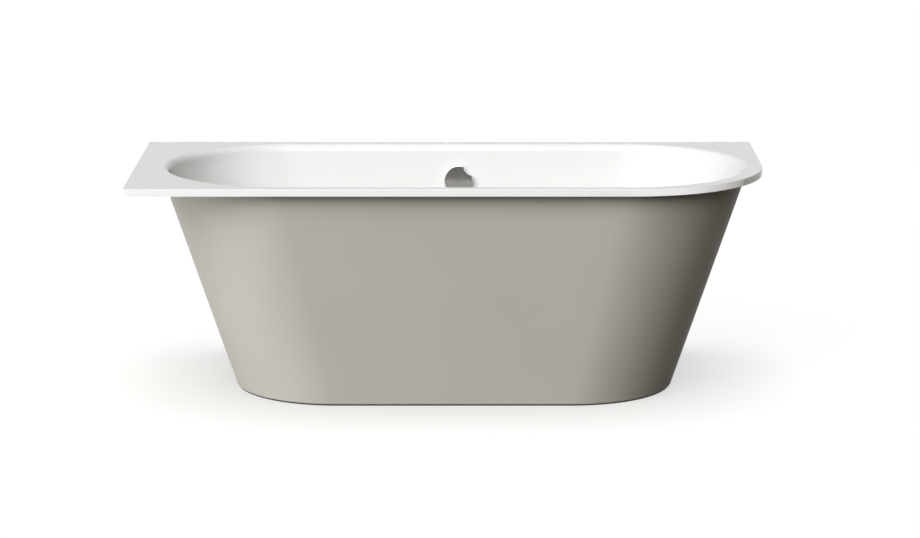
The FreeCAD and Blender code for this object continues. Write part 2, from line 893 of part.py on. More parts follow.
def overflow_body():
    """Chamber behind the wall with its outlet spout, screw posts, rear bearing and cable port."""
    rim_radius = overflow_hole + overflow_seal_rim
    inner = chamber_radius - chamber_wall
    outside = turned([
        (0, chamber_back), (chamber_radius, chamber_back), (chamber_radius, body_face - chamber_flange),
        (rim_radius, body_face - chamber_flange), (rim_radius, body_face), (0, body_face),
    ])
    hollow = post(inner, chamber_depth, Vec(0, 0, chamber_floor))
    spout = post(spout_radius, spout_top_z - spout_end_z, Vec(waste_x, pipe_y, spout_end_z))
    start = cable_port()
    port = post(cable_radius + port_wall, cable_port_reach, start, ALONG)
    body = set_in(outside, overflow_frame).fuse([spout, port]).cut(set_in(hollow, overflow_frame))
    body = body.cut(post(spout_bore, spout_top_z - spout_end_z, Vec(waste_x, pipe_y, spout_end_z)))
    body = body.cut(post(cable_radius / 2, cable_port_reach, start, ALONG))
    posts = []
    for side in (-1, 1):
        at = Vec(side * overflow_screw_place, 0, chamber_floor - chamber_wall / 2)
        solid_post = post(overflow_screw + boss_wall, -slack - at.z, at)
        bore = post(overflow_screw + seat, -at.z, at + UP * chamber_wall)
        posts.append(solid_post.cut(bore))
    bearing = turned([
        (spindle_radius + running, chamber_floor - chamber_wall / 2),
        (bush_radius, chamber_floor - chamber_wall / 2), (bush_radius, drum_low - slack),
        (spindle_radius + running, drum_low - slack),
    ])
    return body.fuse([set_in(piece, overflow_frame) for piece in posts + [bearing]])


def knob_face(inset):
    """Round face with a finger notch in its edge, drawn in by an inset."""
    face = Part.Face(Part.Wire(Part.makeCircle(knob_radius - inset)))
    angle = math.radians(knob_notch_angle)
    at = Vec(knob_notch_place * math.cos(angle), knob_notch_place * math.sin(angle), 0)
    return face.cut(Part.Face(Part.Wire(Part.makeCircle(knob_notch_radius + inset, at))))


def overflow_knob():
    """Hollow turning cover: its wall follows the notched outline, with a hub on the spindle."""
    body = moved(knob_face(0), Vec(0, 0, knob_gap)).extrude(Vec(0, 0, knob_depth))
    front = [e for e in body.Edges if min(v.Z for v in e.Vertexes) > knob_front - seat]
    body = body.makeFillet(knob_edge, front)
    hollow = moved(knob_face(knob_wall), Vec(0, 0, knob_gap)).extrude(Vec(0, 0, knob_depth - knob_plate))
    hub = post(knob_hub, knob_depth - knob_plate / 2, Vec(0, 0, knob_gap))
    bore = post(spindle_radius + seat, knob_depth - knob_plate, Vec(0, 0, knob_gap))
    knob = body.cut(hollow).fuse(hub).cut(bore)
    return set_in(knob.cut(grub_hole(seat)), overflow_frame)


def grub_hole(clearance):
    """Cross bore through the lower side of the knob's hub, with a clearance."""
    z = knob_gap + grub_radius + knob_wall
    return post(grub_radius + clearance, knob_hub - spindle_radius, Vec(0, -knob_hub, z), TO_WALL)


def grub_screw():
    """Short screw that locks the knob on its spindle."""
    return set_in(grub_hole(0), overflow_frame)


def knob_spindle():
    """Spindle with the grooved drum that winds the cable."""
    top = knob_front - knob_plate
    drum_high = drum_low + drum_width
    middle = (drum_low + drum_high) / 2
    profile = [
        (0, spindle_back), (spindle_radius, spindle_back), (spindle_radius, drum_low),
        (drum_radius, drum_low), (drum_radius, middle - drum_groove), (cable_line, middle),
        (drum_radius, middle + drum_groove), (drum_radius, drum_high), (spindle_radius, drum_high),
        (spindle_radius, top), (0, top),
    ]
    return set_in(turned(profile), overflow_frame)


# Waste set

body_top_z = recess_under_z - waste_seal_thick
bowl_low_z = body_top_z - bowl_height
collar_low_z = body_top_z - collar_height
throat_radius = waste_hole - 2 * slack
flange_top_z = recess_z + recess_depth
throat_low_z = flange_top_z - waste_flange_thick - throat_length
web_low_z = throat_low_z + throat_wall / 2
inlet_z = bowl_low_z + inlet_rise
trap_bore = trap_radius - trap_wall
outlet_low_z = bowl_low_z - outlet_spout
seat_radius = throat_radius - throat_wall + seat_flare


def waste_flange():
    """Drain flange with a flared seat, a throat and a spoked web that guides the plug's stem."""
    low = flange_top_z - waste_flange_thick
    inner = throat_radius - throat_wall
    flange = turned([
        (inner, throat_low_z), (throat_radius, throat_low_z), (throat_radius, low),
        (waste_flange_radius, low), (waste_flange_radius, flange_top_z - waste_flange_thick / 2),
        (waste_flange_radius - flange_chamfer, flange_top_z), (seat_radius, flange_top_z),
        (inner, flange_top_z - seat_depth),
    ])
    web = post(web_hub, web_height, UP * web_low_z)
    corner = Vec(0, -web_spoke / 2, web_low_z)
    spoke = Part.makeBox(inner + throat_wall / 2, web_spoke, web_height, corner)
    for k in range(web_spokes):
        turn = FreeCAD.Rotation(UP, 90 + 360 * k / web_spokes)
        web = web.fuse(set_in(spoke, FreeCAD.Placement(Vec(0, 0, 0), turn)))
    web = web.cut(post(stem_radius + running, web_height, UP * web_low_z))
    return moved(flange.fuse(web), drain)


def waste_top_ring():
    """Thin seal between the drain flange and the enamel."""
    return moved(ring(waste_flange_radius - slack, waste_hole, recess_z, recess_z + waste_top_seal), drain)


def waste_seal():
    """Soft ring between the underside of the bath and the waste body."""
    return moved(ring(waste_hole + waste_seal_rim, waste_hole + slack, body_top_z, recess_under_z), drain)


pivot_x = waste_x + lever_arm
pivot_z = bowl_low_z + lever_rise
half_swing = math.asin(plug_lift / 2 / lever_arm)
stem_low_z = pivot_z - plug_lift / 2 + lever_tip + slack
slider_z = pivot_z - lever_drop * math.cos(half_swing)
slider_start = pivot_x + lever_drop * math.sin(half_swing) + lever_tip + slack
slider_travel = 2 * lever_drop * math.sin(half_swing)


def waste_body():
    """Bowl under the bath with inlet, outlet and cable spouts and the ears for the lift lever."""
    rim_radius = waste_hole + waste_seal_rim
    bowl = turned([
        (0, bowl_low_z), (bowl_radius, bowl_low_z), (bowl_radius, body_top_z - bowl_flange),
        (rim_radius, body_top_z - bowl_flange), (rim_radius, body_top_z), (0, body_top_z),
    ])
    bowl = moved(bowl, drain)
    inlet = post(spout_radius, inlet_reach, Vec(waste_x, 0, inlet_z), TO_WALL)
    outlet = post(trap_radius + trap_collar, outlet_spout + bowl_wall, drain + UP * outlet_low_z)
    port = post(slider_radius + port_wall, port_reach, Vec(waste_x, 0, slider_z), ALONG)
    inner = bowl_radius - bowl_wall
    hollow = post(inner, collar_low_z - bowl_low_z - bowl_wall, drain + UP * (bowl_low_z + bowl_wall))
    body = bowl.fuse([inlet, outlet, port]).cut(hollow)
    body = body.cut(post(throat_radius + seat, collar_height, drain + UP * collar_low_z))
    body = body.cut(post(spout_bore, inlet_reach, Vec(waste_x, 0, inlet_z), TO_WALL))
    body = body.cut(post(trap_bore, outlet_spout + 2 * bowl_wall, drain + UP * outlet_low_z))
    body = body.cut(post(slider_radius + running, port_reach, Vec(waste_x, 0, slider_z), ALONG))
    ears = []
    ear_start = pivot_x - lever_hub
    ear_reach = waste_x + bowl_radius - bowl_wall / 2 - ear_start
    for side in (-1, 1):
        y = side * (lever_thick / 2 + ear_gap + ear_thick / 2) - ear_thick / 2
        ear = Part.makeBox(ear_reach, ear_thick, 2 * lever_hub, Vec(ear_start, y, pivot_z - lever_hub))
        ears.append(ear.common(moved(post(bowl_radius - bowl_wall / 2, body_top_z, Vec(0, 0, 0)), drain)))
    body = body.fuse(ears)
    return body.cut(post(lever_pin + seat, 2 * pin_half(), Vec(pivot_x, -pin_half(), pivot_z), TO_WALL))


def pin_half():
    """Half the length of the lever's pin, flush with the outer faces of its ears."""
    return lever_thick / 2 + ear_gap + ear_thick


def lever_pin_bar():
    """Pin through the ears and the lift lever."""
    return post(lever_pin, 2 * pin_half(), Vec(pivot_x, -pin_half(), pivot_z), TO_WALL)


def link(end):
    """Flat bar from the lever's pivot to a round tip at a point in its own plane."""
    span = math.hypot(*end)
    y = -lever_thick / 2
    bar = Part.makeBox(span, lever_thick, 2 * lever_bar, Vec(0, y, -lever_bar))
    bar = bar.fuse(post(lever_tip, lever_thick, Vec(span, y, 0), TO_WALL))
    tilt = FreeCAD.Rotation(TO_WALL, -math.degrees(math.atan2(end[1], end[0])))
    return set_in(bar, FreeCAD.Placement(Vec(pivot_x, 0, pivot_z), tilt))


def lift_lever():
    """Bell crank: the cable pushes its lower arm, and its level arm lifts the plug's stem."""
    level = (-lever_arm * math.cos(half_swing), -lever_arm * math.sin(half_swing))
    lower = (lever_drop * math.sin(half_swing), -lever_drop * math.cos(half_swing))
    start = Vec(pivot_x, -lever_thick / 2, pivot_z)
    hub = post(lever_hub, lever_thick, start, TO_WALL)
    lever = hub.fuse([link(level), link(lower)])
    return lever.cut(post(lever_pin + running, lever_thick, start, TO_WALL))


def cable_slider():
    """Rod at the cable's end that pushes the lift lever."""
    end = waste_x + port_reach - slider_travel / 2
    return post(slider_radius, end - slider_start, Vec(slider_start, 0, slider_z), ALONG)


plug_low_z = flange_top_z + slack


def drain_plug():
    """Domed plug with a socket for its stem, over the flared seat of the flange."""
    height = plug_rim_height + plug_crown
    dome = (plug_radius ** 2 + plug_crown ** 2) / (2 * plug_crown)
    disc = post(plug_radius, height, UP * plug_low_z)
    plug = disc.common(Part.makeSphere(dome, UP * (plug_low_z + height - dome)))
    return moved(plug.cut(post(stem_radius + seat, plug_rim_height, UP * plug_low_z)), drain)


def plug_seal():
    """Soft ring under the plug that closes on the flared seat."""
    outer = seat_radius - seat_flare * (plug_seal_height + slack) / seat_depth - slack
    seal = turned([
        (outer - plug_seal_width, plug_low_z - plug_seal_height), (outer, plug_low_z - plug_seal_height),
        (outer, plug_low_z), (outer - plug_seal_width, plug_low_z),
    ])
    return moved(seal, drain)


def plug_stem():
    """Stem that carries the plug and rests over the lift lever."""
    return post(stem_radius, plug_low_z + plug_rim_height - stem_low_z, drain + UP * stem_low_z)


# Pipe, cable and their nuts


def union_nut(thread, tube):
    """Ribbed nut turned about Z, with a thread bore, a lip round the tube and its open end up."""
    outer = thread + nut_wall
    nut = turned([
        (tube + seat, 0), (outer, 0), (outer, nut_height), (thread + seat, nut_height),
        (thread + seat, nut_lip), (tube + seat, nut_lip),
    ])
    ribs = []
    corner = Vec(outer - nut_wall / 2, -nut_rib, 0)
    rib = Part.makeBox(nut_wall / 2 + nut_rib, 2 * nut_rib, nut_height - nut_lip, corner)
    for k in range(nut_ribs):
        turn = FreeCAD.Rotation(UP, 360 * k / nut_ribs)
        ribs.append(set_in(rib, FreeCAD.Placement(Vec(0, 0, 0), turn)))
    return nut.fuse(ribs)


def overflow_pipe():
    """Pipe from the overflow spout down behind the bath and forward to the waste."""
    top = Vec(waste_x, pipe_y, spout_end_z + spout_socket)
    corner = Vec(waste_x, pipe_y, inlet_z)
    end = Vec(waste_x, inlet_reach - spout_socket, inlet_z)
    return pipe(route([top, corner, end], [pipe_bend]), pipe_radius, pipe_wall)


def pipe_nuts():
    """Nuts that close the two ends of the overflow pipe."""
    nut = union_nut(spout_radius, pipe_radius)
    upper = moved(nut, Vec(waste_x, pipe_y, spout_end_z - nut_lip - slack))
    to_bowl = FreeCAD.Placement(
        Vec(waste_x, inlet_reach + nut_lip + slack, inlet_z), FreeCAD.Rotation(ALONG, 90)
    )
    return Part.makeCompound([upper, set_in(nut, to_bowl)])


def cable_sheath():
    """Push cable from the overflow chamber down behind the bath and round to the waste bowl."""
    start = cable_port() + ALONG * cable_port_reach
    points = [
        start,
        Vec(waste_x + cable_out, start.y, start.z),
        Vec(waste_x + cable_out, start.y, slider_z),
        Vec(waste_x + cable_out, 0, slider_z),
        Vec(waste_x + port_reach, 0, slider_z),
    ]
    return rod(route(points, [cable_bend_top, cable_bend_low, cable_bend_end]), cable_radius)


def cable_ferrules():
    """Sleeves at the two ends of the cable, against their ports."""
    sleeve = ring(cable_radius + ferrule_wall, cable_radius + seat, 0, ferrule_length)
    along = FreeCAD.Rotation(TO_WALL, 90)
    places = [cable_port() + ALONG * cable_port_reach, Vec(waste_x + port_reach, 0, slider_z)]
    return Part.makeCompound([set_in(sleeve, FreeCAD.Placement(place, along)) for place in places])


# Trap

collar_top_z = outlet_low_z - trap_seal
leg_low_z = collar_top_z - trap_collar_height - trap_leg
riser_x = waste_x - 2 * trap_bend
thread_radius = trap_radius + trap_collar


def trap_collar_ring(x, low):
    """Collar on the end of a trap pipe that its nut draws up."""
    return moved(ring(thread_radius, trap_bore, low, low + trap_collar_height), Vec(x, 0, 0))


def trap_body():
    """U bend that holds the water, with a collar below the bowl and a threaded riser."""
    inlet = Vec(waste_x, 0, collar_top_z)
    low = leg_low_z - trap_bend
    bend = Part.Arc(Vec(waste_x, 0, leg_low_z), Vec(waste_x - trap_bend, 0, low), Vec(riser_x, 0, leg_low_z))
    path = Part.Wire([
        line(inlet, Vec(waste_x, 0, leg_low_z)), bend.toShape(),
        line(Vec(riser_x, 0, leg_low_z), Vec(riser_x, 0, collar_top_z)),
    ])
    outside = rod(path, trap_radius).fuse([
        post(thread_radius, trap_collar_height, Vec(waste_x, 0, collar_top_z - trap_collar_height)),
        post(thread_radius, trap_leg / 2, Vec(riser_x, 0, collar_top_z - trap_leg / 2)),
    ])
    to_front = Vec(0, -1, 0)
    boss = post(clean_cap_radius - nut_wall / 2, clean_boss + trap_bend, clean_start(), to_front)
    eye = post(clean_cap_radius - nut_wall, 2 * trap_bend, clean_start(), to_front)
    return outside.fuse(boss).cut(rod(path, trap_bore).fuse(eye))


def clean_start():
    """Middle of the bend's lowest point, where the cleaning eye points to the front."""
    return Vec(waste_x - trap_bend, 0, leg_low_z - trap_bend)


def trap_cap():
    """Ribbed cap over the cleaning eye."""
    eye = clean_cap_radius - nut_wall / 2
    reach = clean_boss + trap_bend
    cap = turned([
        (0, 0), (clean_cap_radius, 0), (clean_cap_radius, clean_boss), (eye + seat, clean_boss),
        (eye + seat, clean_cap_height / 2), (0, clean_cap_height / 2),
    ])
    at = clean_start() + Vec(0, -reach - clean_cap_height / 2 - slack / 2, 0)
    return set_in(cap, FreeCAD.Placement(at, FreeCAD.Rotation(ALONG, -90)))


def trap_seals():
    """Flat seals in the two trap joints."""
    seal = ring(thread_radius - slack, trap_bore, collar_top_z, outlet_low_z)
    return Part.makeCompound([moved(seal, drain), moved(seal, Vec(riser_x, 0, 0))])


def trap_nut():
    """Nut that holds the trap on the waste bowl."""
    low = collar_top_z - trap_collar_height - nut_lip - slack
    return moved(union_nut(thread_radius, trap_radius), Vec(waste_x, 0, low))


outlet_low = collar_top_z + trap_seal + slack


def outlet_elbow():
    """Swivelling elbow and waste pipe that points at the wall, with a collar and a plain spigot."""
    level = outlet_low + trap_collar_height + nut_lip + outlet_bend
    corner = Vec(riser_x, 0, level)
    path = route([Vec(riser_x, 0, outlet_low), corner, Vec(riser_x, outlet_end, level)], [outlet_bend])
    tube = rod(path, trap_radius)
    collar = post(thread_radius - slack, trap_collar_height, Vec(riser_x, 0, outlet_low))
    stop = post(
        trap_radius + spigot_ring, spigot_ring_width,
        Vec(riser_x, outlet_end - spigot_length - spigot_ring_width, level), TO_WALL,
    )
    return tube.fuse([collar, stop]).cut(rod(path, trap_bore))


def outlet_nut():
    """Nut that turns with the elbow and closes it on the trap's riser."""
    turn = FreeCAD.Placement(
        Vec(riser_x, 0, outlet_low + trap_collar_height + slack + nut_lip), FreeCAD.Rotation(ALONG, 180)
    )
    return set_in(union_nut(thread_radius + slack, trap_radius), turn)


nodes = {
    "bath_shell": bath_shell(),
    "apron_panel": apron_panel(),
    "apron_base_seal": apron_base_seal(),
    "apron_stiffeners": apron_stiffeners(),
    "apron_clips": apron_clips(),
    "apron_floor_brackets": Part.makeCompound([floor_bracket(place) for place in bracket_places]),
    "apron_wall_angles": apron_wall_angles(),
    "foot_rail_left": foot_rail(-1),
    "foot_rail_right": foot_rail(1),
    "rail_pads": rail_pads(),
    "rail_nuts": foot_nuts(rail_nut_height, rail_nut_z),
    "foot_lock_nuts": foot_nuts(lock_nut_height, lock_nut_z),
    "back_wall_anchors": back_anchors(),
    "left_wall_anchors": left_anchors(),
    "earth_tab": earth_tab(),
    "floor_sound_pads": floor_pads(),
    "wall_sound_pads": wall_pads(),
    "overflow_flange": overflow_flange(),
    "overflow_screws": overflow_screws(),
    "overflow_seal": overflow_seal(),
    "overflow_body": overflow_body(),
    "overflow_knob": overflow_knob(),
    "knob_spindle": knob_spindle(),
    "knob_grub_screw": grub_screw(),
    "overflow_pipe": overflow_pipe(),
    "overflow_pipe_nuts": pipe_nuts(),
    "cable_sheath": cable_sheath(),
    "cable_ferrules": cable_ferrules(),
    "cable_slider": cable_slider(),
    "waste_flange": waste_flange(),
    "waste_top_ring": waste_top_ring(),
    "waste_seal": waste_seal(),
    "waste_body": waste_body(),
    "lever_pin": lever_pin_bar(),
    "lift_lever": lift_lever(),
    "drain_plug": drain_plug(),
    "plug_seal": plug_seal(),
    "plug_stem": plug_stem(),
    "trap_nut": trap_nut(),
    "trap_body": trap_body(),
    "trap_seals": trap_seals(),
    "trap_cleaning_cap": trap_cap(),
    "outlet_elbow": outlet_elbow(),
    "outlet_nut": outlet_nut(),
}
for name, place in foot_places.items():
    nodes["foot_spindle_" + name] = foot_spindle_bar(place)
    nodes["foot_plate_" + name] = foot_plate(place)
    nodes["foot_sole_" + name] = foot_sole(place)

os.makedirs("parts", exist_ok=True)
for name, shape in nodes.items():
    shape.exportStep("parts/" + name + ".step")
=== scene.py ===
import json
import logging
import math
from abc import ABC, abstractmethod
from dataclasses import dataclass
from enum import Enum
from typing import Dict, List, Sequence, Tuple, Union

import bmesh
import bpy
import numpy as np
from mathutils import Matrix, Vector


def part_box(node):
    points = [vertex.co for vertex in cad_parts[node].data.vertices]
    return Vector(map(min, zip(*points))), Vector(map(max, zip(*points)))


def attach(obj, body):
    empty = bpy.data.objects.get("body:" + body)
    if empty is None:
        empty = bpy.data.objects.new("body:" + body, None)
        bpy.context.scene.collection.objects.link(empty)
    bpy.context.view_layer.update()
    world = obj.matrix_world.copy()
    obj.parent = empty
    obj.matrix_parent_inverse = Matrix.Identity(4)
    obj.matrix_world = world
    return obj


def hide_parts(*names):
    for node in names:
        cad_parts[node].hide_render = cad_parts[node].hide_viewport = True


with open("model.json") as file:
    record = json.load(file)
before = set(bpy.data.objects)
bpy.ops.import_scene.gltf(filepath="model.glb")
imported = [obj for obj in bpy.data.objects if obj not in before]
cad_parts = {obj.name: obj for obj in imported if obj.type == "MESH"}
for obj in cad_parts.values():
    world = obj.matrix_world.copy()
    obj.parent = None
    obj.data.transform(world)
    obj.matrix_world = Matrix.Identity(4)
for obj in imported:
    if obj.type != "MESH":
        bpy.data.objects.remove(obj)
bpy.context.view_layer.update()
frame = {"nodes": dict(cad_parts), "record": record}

HIDDEN_SIDE = "hidden_side"
MERGE_DISTANCE = 1e-6
LEAST_TURN = 1e-9
WHITE = (1.0, 1.0, 1.0)

Colour = Tuple[float, float, float]
Place = Tuple[float, float, float]
Span = Tuple[float, float]
Socket = bpy.types.NodeSocket
Fill = Union[Socket, Colour]

log = logging.getLogger("bath")


class Body(Enum):
    """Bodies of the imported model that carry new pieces."""

    BATH = "bath"
    KNOB = "knob"
    PLUG = "plug"


class Crease(Enum):
    """Angle in degrees above which an edge stays sharp."""

    ROUND = 34.0
    PRESSED = 30.0
    FACETED = 24.0


class NodeSheet:
    """Node tree of one material, ending in its own shader and reading Object coordinates."""

    def __init__(self, name: str) -> None:
        """Starts the tree.

        Args:
            name: Name of the material.
        """
        self.material = bpy.data.materials.new(name)
        self.material.use_nodes = True
        self.tree = self.material.node_tree
        self.shader = self.tree.nodes["Principled BSDF"]
        self.place = self.add("ShaderNodeTexCoord").outputs["Object"]

    def add(self, kind: str, **settings: object) -> bpy.types.Node:
        """Adds one node.

        Args:
            kind: Type of the node.
            settings: Properties of the node by name.

        Returns:
            The new node.
        """
        node = self.tree.nodes.new(kind)
        for key, value in settings.items():
            setattr(node, key, value)
        return node

    def feed(self, target: Socket, value: Union[Fill, float]) -> None:
        """Links a socket to the target, or sets the target to a constant.

        Args:
            target: Input socket.
            value: Output socket, colour or number.
        """
        if isinstance(value, bpy.types.NodeSocket):
            self.tree.links.new(value, target)
        elif isinstance(value, tuple):
            target.default_value = (*value, 1.0)
        else:
            target.default_value = value

    def shade(self, **inputs: Union[Fill, float]) -> None:
        """Feeds inputs of the shader, named with _ for a space."""
        for key, value in inputs.items():
            self.feed(self.shader.inputs[key.replace("_", " ")], value)

    def stretched(self, scale: Place) -> Socket:
        """Draws out the Object coordinates along the axes.

        Args:
            scale: Scale along each axis.

        Returns:
            The new coordinates.
        """
        node = self.add("ShaderNodeMapping")
        self.feed(node.inputs["Vector"], self.place)
        node.inputs["Scale"].default_value = scale
        return node.outputs["Vector"]

    def noise(self, scale: float, detail: float = 2.0, place: Socket = None) -> Socket:
        """Cloudy noise.

        Args:
            scale: Features per metre.
            detail: Octaves.
            place: Coordinates, or the plain ones.

        Returns:
            Noise from 0 to 1.
        """
        node = self.add("ShaderNodeTexNoise")
        self.feed(node.inputs["Vector"], place or self.place)
        node.inputs["Scale"].default_value = scale
        node.inputs["Detail"].default_value = detail
        return node.outputs["Fac"]

    def cells(self, scale: float) -> Socket:
        """Gives each cell of a crystal pattern a random tone.

        Args:
            scale: Cells per metre.

        Returns:
            Tones from 0 to 1.
        """
        node = self.add("ShaderNodeTexVoronoi")
        self.feed(node.inputs["Vector"], self.place)
        node.inputs["Scale"].default_value = scale
        split = self.add("ShaderNodeSeparateColor")
        self.feed(split.inputs["Color"], node.outputs["Color"])
        return split.outputs["Red"]

    def bands(self, scale: float, direction: str) -> Socket:
        """Raises even ridges across one direction.

        Args:
            scale: Scale of the ridges.
            direction: Axis along which they repeat.

        Returns:
            Heights from 0 to 1.
        """
        node = self.add("ShaderNodeTexWave", bands_direction=direction)
        self.feed(node.inputs["Vector"], self.place)
        node.inputs["Scale"].default_value = scale
        return node.outputs["Fac"]

    def attribute(self, name: str) -> Socket:
        """Value of the piece's own point attribute."""
        return self.add("ShaderNodeAttribute", attribute_name=name).outputs["Fac"]

    def spread(self, value: Socket, low: float, high: float, start: float = 0.3, end: float = 0.7) -> Socket:
        """Maps a value to a range.

        Args:
            value: Value to map.
            low: Result at the start.
            high: Result at the end.
            start: Value at which the range starts.
            end: Value at which the range ends.

        Returns:
            The mapped value, kept inside the range.
        """
        node = self.add("ShaderNodeMapRange")
        settings = {"From Min": start, "From Max": end, "To Min": low, "To Max": high}
        for key, number in settings.items():
            node.inputs[key].default_value = number
        self.feed(node.inputs["Value"], value)
        return node.outputs["Result"]

    def mixed(self, share: Socket, first: Fill, second: Fill) -> Socket:
        """Mixes two fills.

        Args:
            share: Share of the second fill.
            first: Fill at share 0.
            second: Fill at share 1.

        Returns:
            The mixed colour.
        """
        node = self.add("ShaderNodeMix", data_type="RGBA")
        factor, start, end = (next(s for s in node.inputs if s.identifier == key)
                              for key in ("Factor_Float", "A_Color", "B_Color"))
        self.feed(factor, share)
        self.feed(start, first)
        self.feed(end, second)
        return next(s for s in node.outputs if s.identifier == "Result_Color")

    def tint(self, value: Socket, first: Fill, second: Fill, start: float = 0.3, end: float = 0.7) -> None:
        """Colours the surface from one fill to another, as a value goes from start to end."""
        share = self.spread(value, 0.0, 1.0, start, end)
        self.shade(Base_Color=self.mixed(share, first, second))

    def joined(self, kind: str, first: Socket, second: Union[Socket, float]) -> Socket:
        """Joins two values.

        Args:
            kind: Name of the operation.
            first: First value.
            second: Second value.

        Returns:
            The result.
        """
        node = self.add("ShaderNodeMath", operation=kind)
        self.feed(node.inputs[0], first)
        self.feed(node.inputs[1], second)
        return node.outputs["Value"]

    def along(self, axis: str) -> Socket:
        """Picks one axis of the Object coordinates.

        Args:
            axis: X, Y or Z.

        Returns:
            The coordinate along it.
        """
        split = self.add("ShaderNodeSeparateXYZ")
        self.feed(split.inputs["Vector"], self.place)
        return split.outputs[axis]

    def glow(self, strength: Union[Socket, float], hue: Colour = WHITE) -> Socket:
        """Makes a surface that gives off light.

        Args:
            strength: Strength of the light.
            hue: Its colour.

        Returns:
            The shader.
        """
        node = self.add("ShaderNodeEmission")
        self.feed(node.inputs["Color"], hue)
        self.feed(node.inputs["Strength"], strength)
        return node.outputs["Emission"]

    def show(self, surface: Socket) -> None:
        """Makes a shader the surface of the material."""
        self.feed(self.tree.nodes["Material Output"].inputs["Surface"], surface)

    def relief(self, height: Socket, depth: float, strength: float) -> None:
        """Raises the surface by a height.

        Args:
            height: Height from 0 to 1.
            depth: Full height in metres.
            strength: Share of the relief that shows.
        """
        node = self.add("ShaderNodeBump")
        node.inputs["Distance"].default_value = depth
        node.inputs["Strength"].default_value = strength
        self.feed(node.inputs["Height"], height)
        self.shade(Normal=node.outputs["Normal"])


class Finish(ABC):
    """Surface finish that belongs to one material slot of the record."""

    slot: str

    @abstractmethod
    def paint(self, sheet: NodeSheet) -> None:
        """Writes the finish into a node sheet.

        Args:
            sheet: Node sheet of the finish.
        """

    def material(self) -> bpy.types.Material:
        """Makes the finish's material on first use.

        Returns:
            The material.
        """
        made = bpy.data.materials.get("finish_" + self.slot)
        if made is None:
            sheet = NodeSheet("finish_" + self.slot)
            self.paint(sheet)
            made = sheet.material
        return made


@dataclass(frozen=True)
class BathEnamel(Finish):
    """Fired gloss enamel: white on the side that shows, speckled dark ground coat on the hidden side."""

    slot: str = "white_enamel"
    white: Colour = (0.800, 0.800, 0.792)
    white_thin: Colour = (0.786, 0.788, 0.782)
    ground: Colour = (0.022, 0.024, 0.030)
    speck: Colour = (0.120, 0.125, 0.135)
    cloud_scale: float = 2.5
    speck_scale: float = 900.0
    speck_span: Span = (0.62, 0.70)
    rough_scale: float = 10.0
    rough: Span = (0.05, 0.09)
    hidden_rough: float = 0.25
    peel_scale: float = 190.0
    peel_depth: float = 0.00012
    peel_share: float = 0.12

    def paint(self, sheet: NodeSheet) -> None:
        """Mixes the two coats by the hidden side attribute, with orange peel in the gloss.

        Args:
            sheet: Node sheet of the finish.
        """
        hidden = sheet.attribute(HIDDEN_SIDE)
        cloud = sheet.spread(sheet.noise(self.cloud_scale), 0.0, 1.0)
        shown = sheet.mixed(cloud, self.white, self.white_thin)
        specks = sheet.spread(sheet.noise(self.speck_scale), 0.0, 1.0, *self.speck_span)
        under = sheet.mixed(specks, self.ground, self.speck)
        sheet.shade(Base_Color=sheet.mixed(hidden, shown, under))
        rough = sheet.spread(sheet.noise(self.rough_scale), *self.rough)
        more = sheet.spread(hidden, 0.0, self.hidden_rough, 0.0, 1.0)
        sheet.shade(Roughness=sheet.joined("ADD", rough, more))
        sheet.relief(sheet.noise(self.peel_scale, detail=1.0), self.peel_depth, self.peel_share)


@dataclass(frozen=True)
class ApronEnamel(Finish):
    """Matt greige stove enamel with a fine even grain and a soft sheen."""

    slot: str = "greige_enamel"
    coat: Colour = (0.437, 0.418, 0.376)
    coat_deep: Colour = (0.419, 0.400, 0.358)
    cloud_scale: float = 3.5
    rough_scale: float = 375.0
    rough: Span = (0.42, 0.52)
    gloss: float = 0.04
    grain_scale: float = 1500.0
    grain_depth: float = 0.00005
    grain_share: float = 0.30

    def paint(self, sheet: NodeSheet) -> None:
        """Clouds the coat slightly and raises its grain.

        Args:
            sheet: Node sheet of the finish.
        """
        sheet.tint(sheet.noise(self.cloud_scale), self.coat, self.coat_deep)
        sheet.shade(Roughness=sheet.spread(sheet.noise(self.rough_scale), *self.rough))
        sheet.shade(Specular_IOR_Level=self.gloss)
        sheet.relief(sheet.noise(self.grain_scale), self.grain_depth, self.grain_share)


@dataclass(frozen=True)
class Galvanised(Finish):
    """Hot-dipped zinc on sheet steel, with crystals of differing tone."""

    slot: str = "galvanised_steel"
    light: Colour = (0.640, 0.655, 0.670)
    dark: Colour = (0.440, 0.455, 0.475)
    crystal_scale: float = 85.0
    crystal_depth: float = 0.00004
    crystal_share: float = 0.25
    streak_scale: float = 14.0
    tone_span: Span = (0.0, 0.6)
    rough: Span = (0.32, 0.50)

    def paint(self, sheet: NodeSheet) -> None:
        """Gives each crystal its tone and gloss.

        Args:
            sheet: Node sheet of the finish.
        """
        crystal = sheet.cells(self.crystal_scale)
        tone = sheet.joined("MULTIPLY", crystal, sheet.noise(self.streak_scale))
        sheet.tint(tone, self.light, self.dark, *self.tone_span)
        sheet.shade(Metallic=1.0, Roughness=sheet.spread(crystal, *self.rough, 0.0, 1.0))
        sheet.relief(crystal, self.crystal_depth, self.crystal_share)


@dataclass(frozen=True)
class ZincPlate(Finish):
    """Bright zinc plating on screws, nuts and spindles, a little yellow in places."""

    slot: str = "zinc_plated_steel"
    cool: Colour = (0.600, 0.620, 0.640)
    warm: Colour = (0.640, 0.610, 0.520)
    stain_scale: float = 55.0
    stain_span: Span = (0.45, 0.75)
    rough: Span = (0.22, 0.38)

    def paint(self, sheet: NodeSheet) -> None:
        """Stains the plating and varies its gloss.

        Args:
            sheet: Node sheet of the finish.
        """
        stain = sheet.noise(self.stain_scale, detail=4.0)
        sheet.tint(stain, self.cool, self.warm, *self.stain_span)
        sheet.shade(Metallic=1.0, Roughness=sheet.spread(stain, *self.rough))


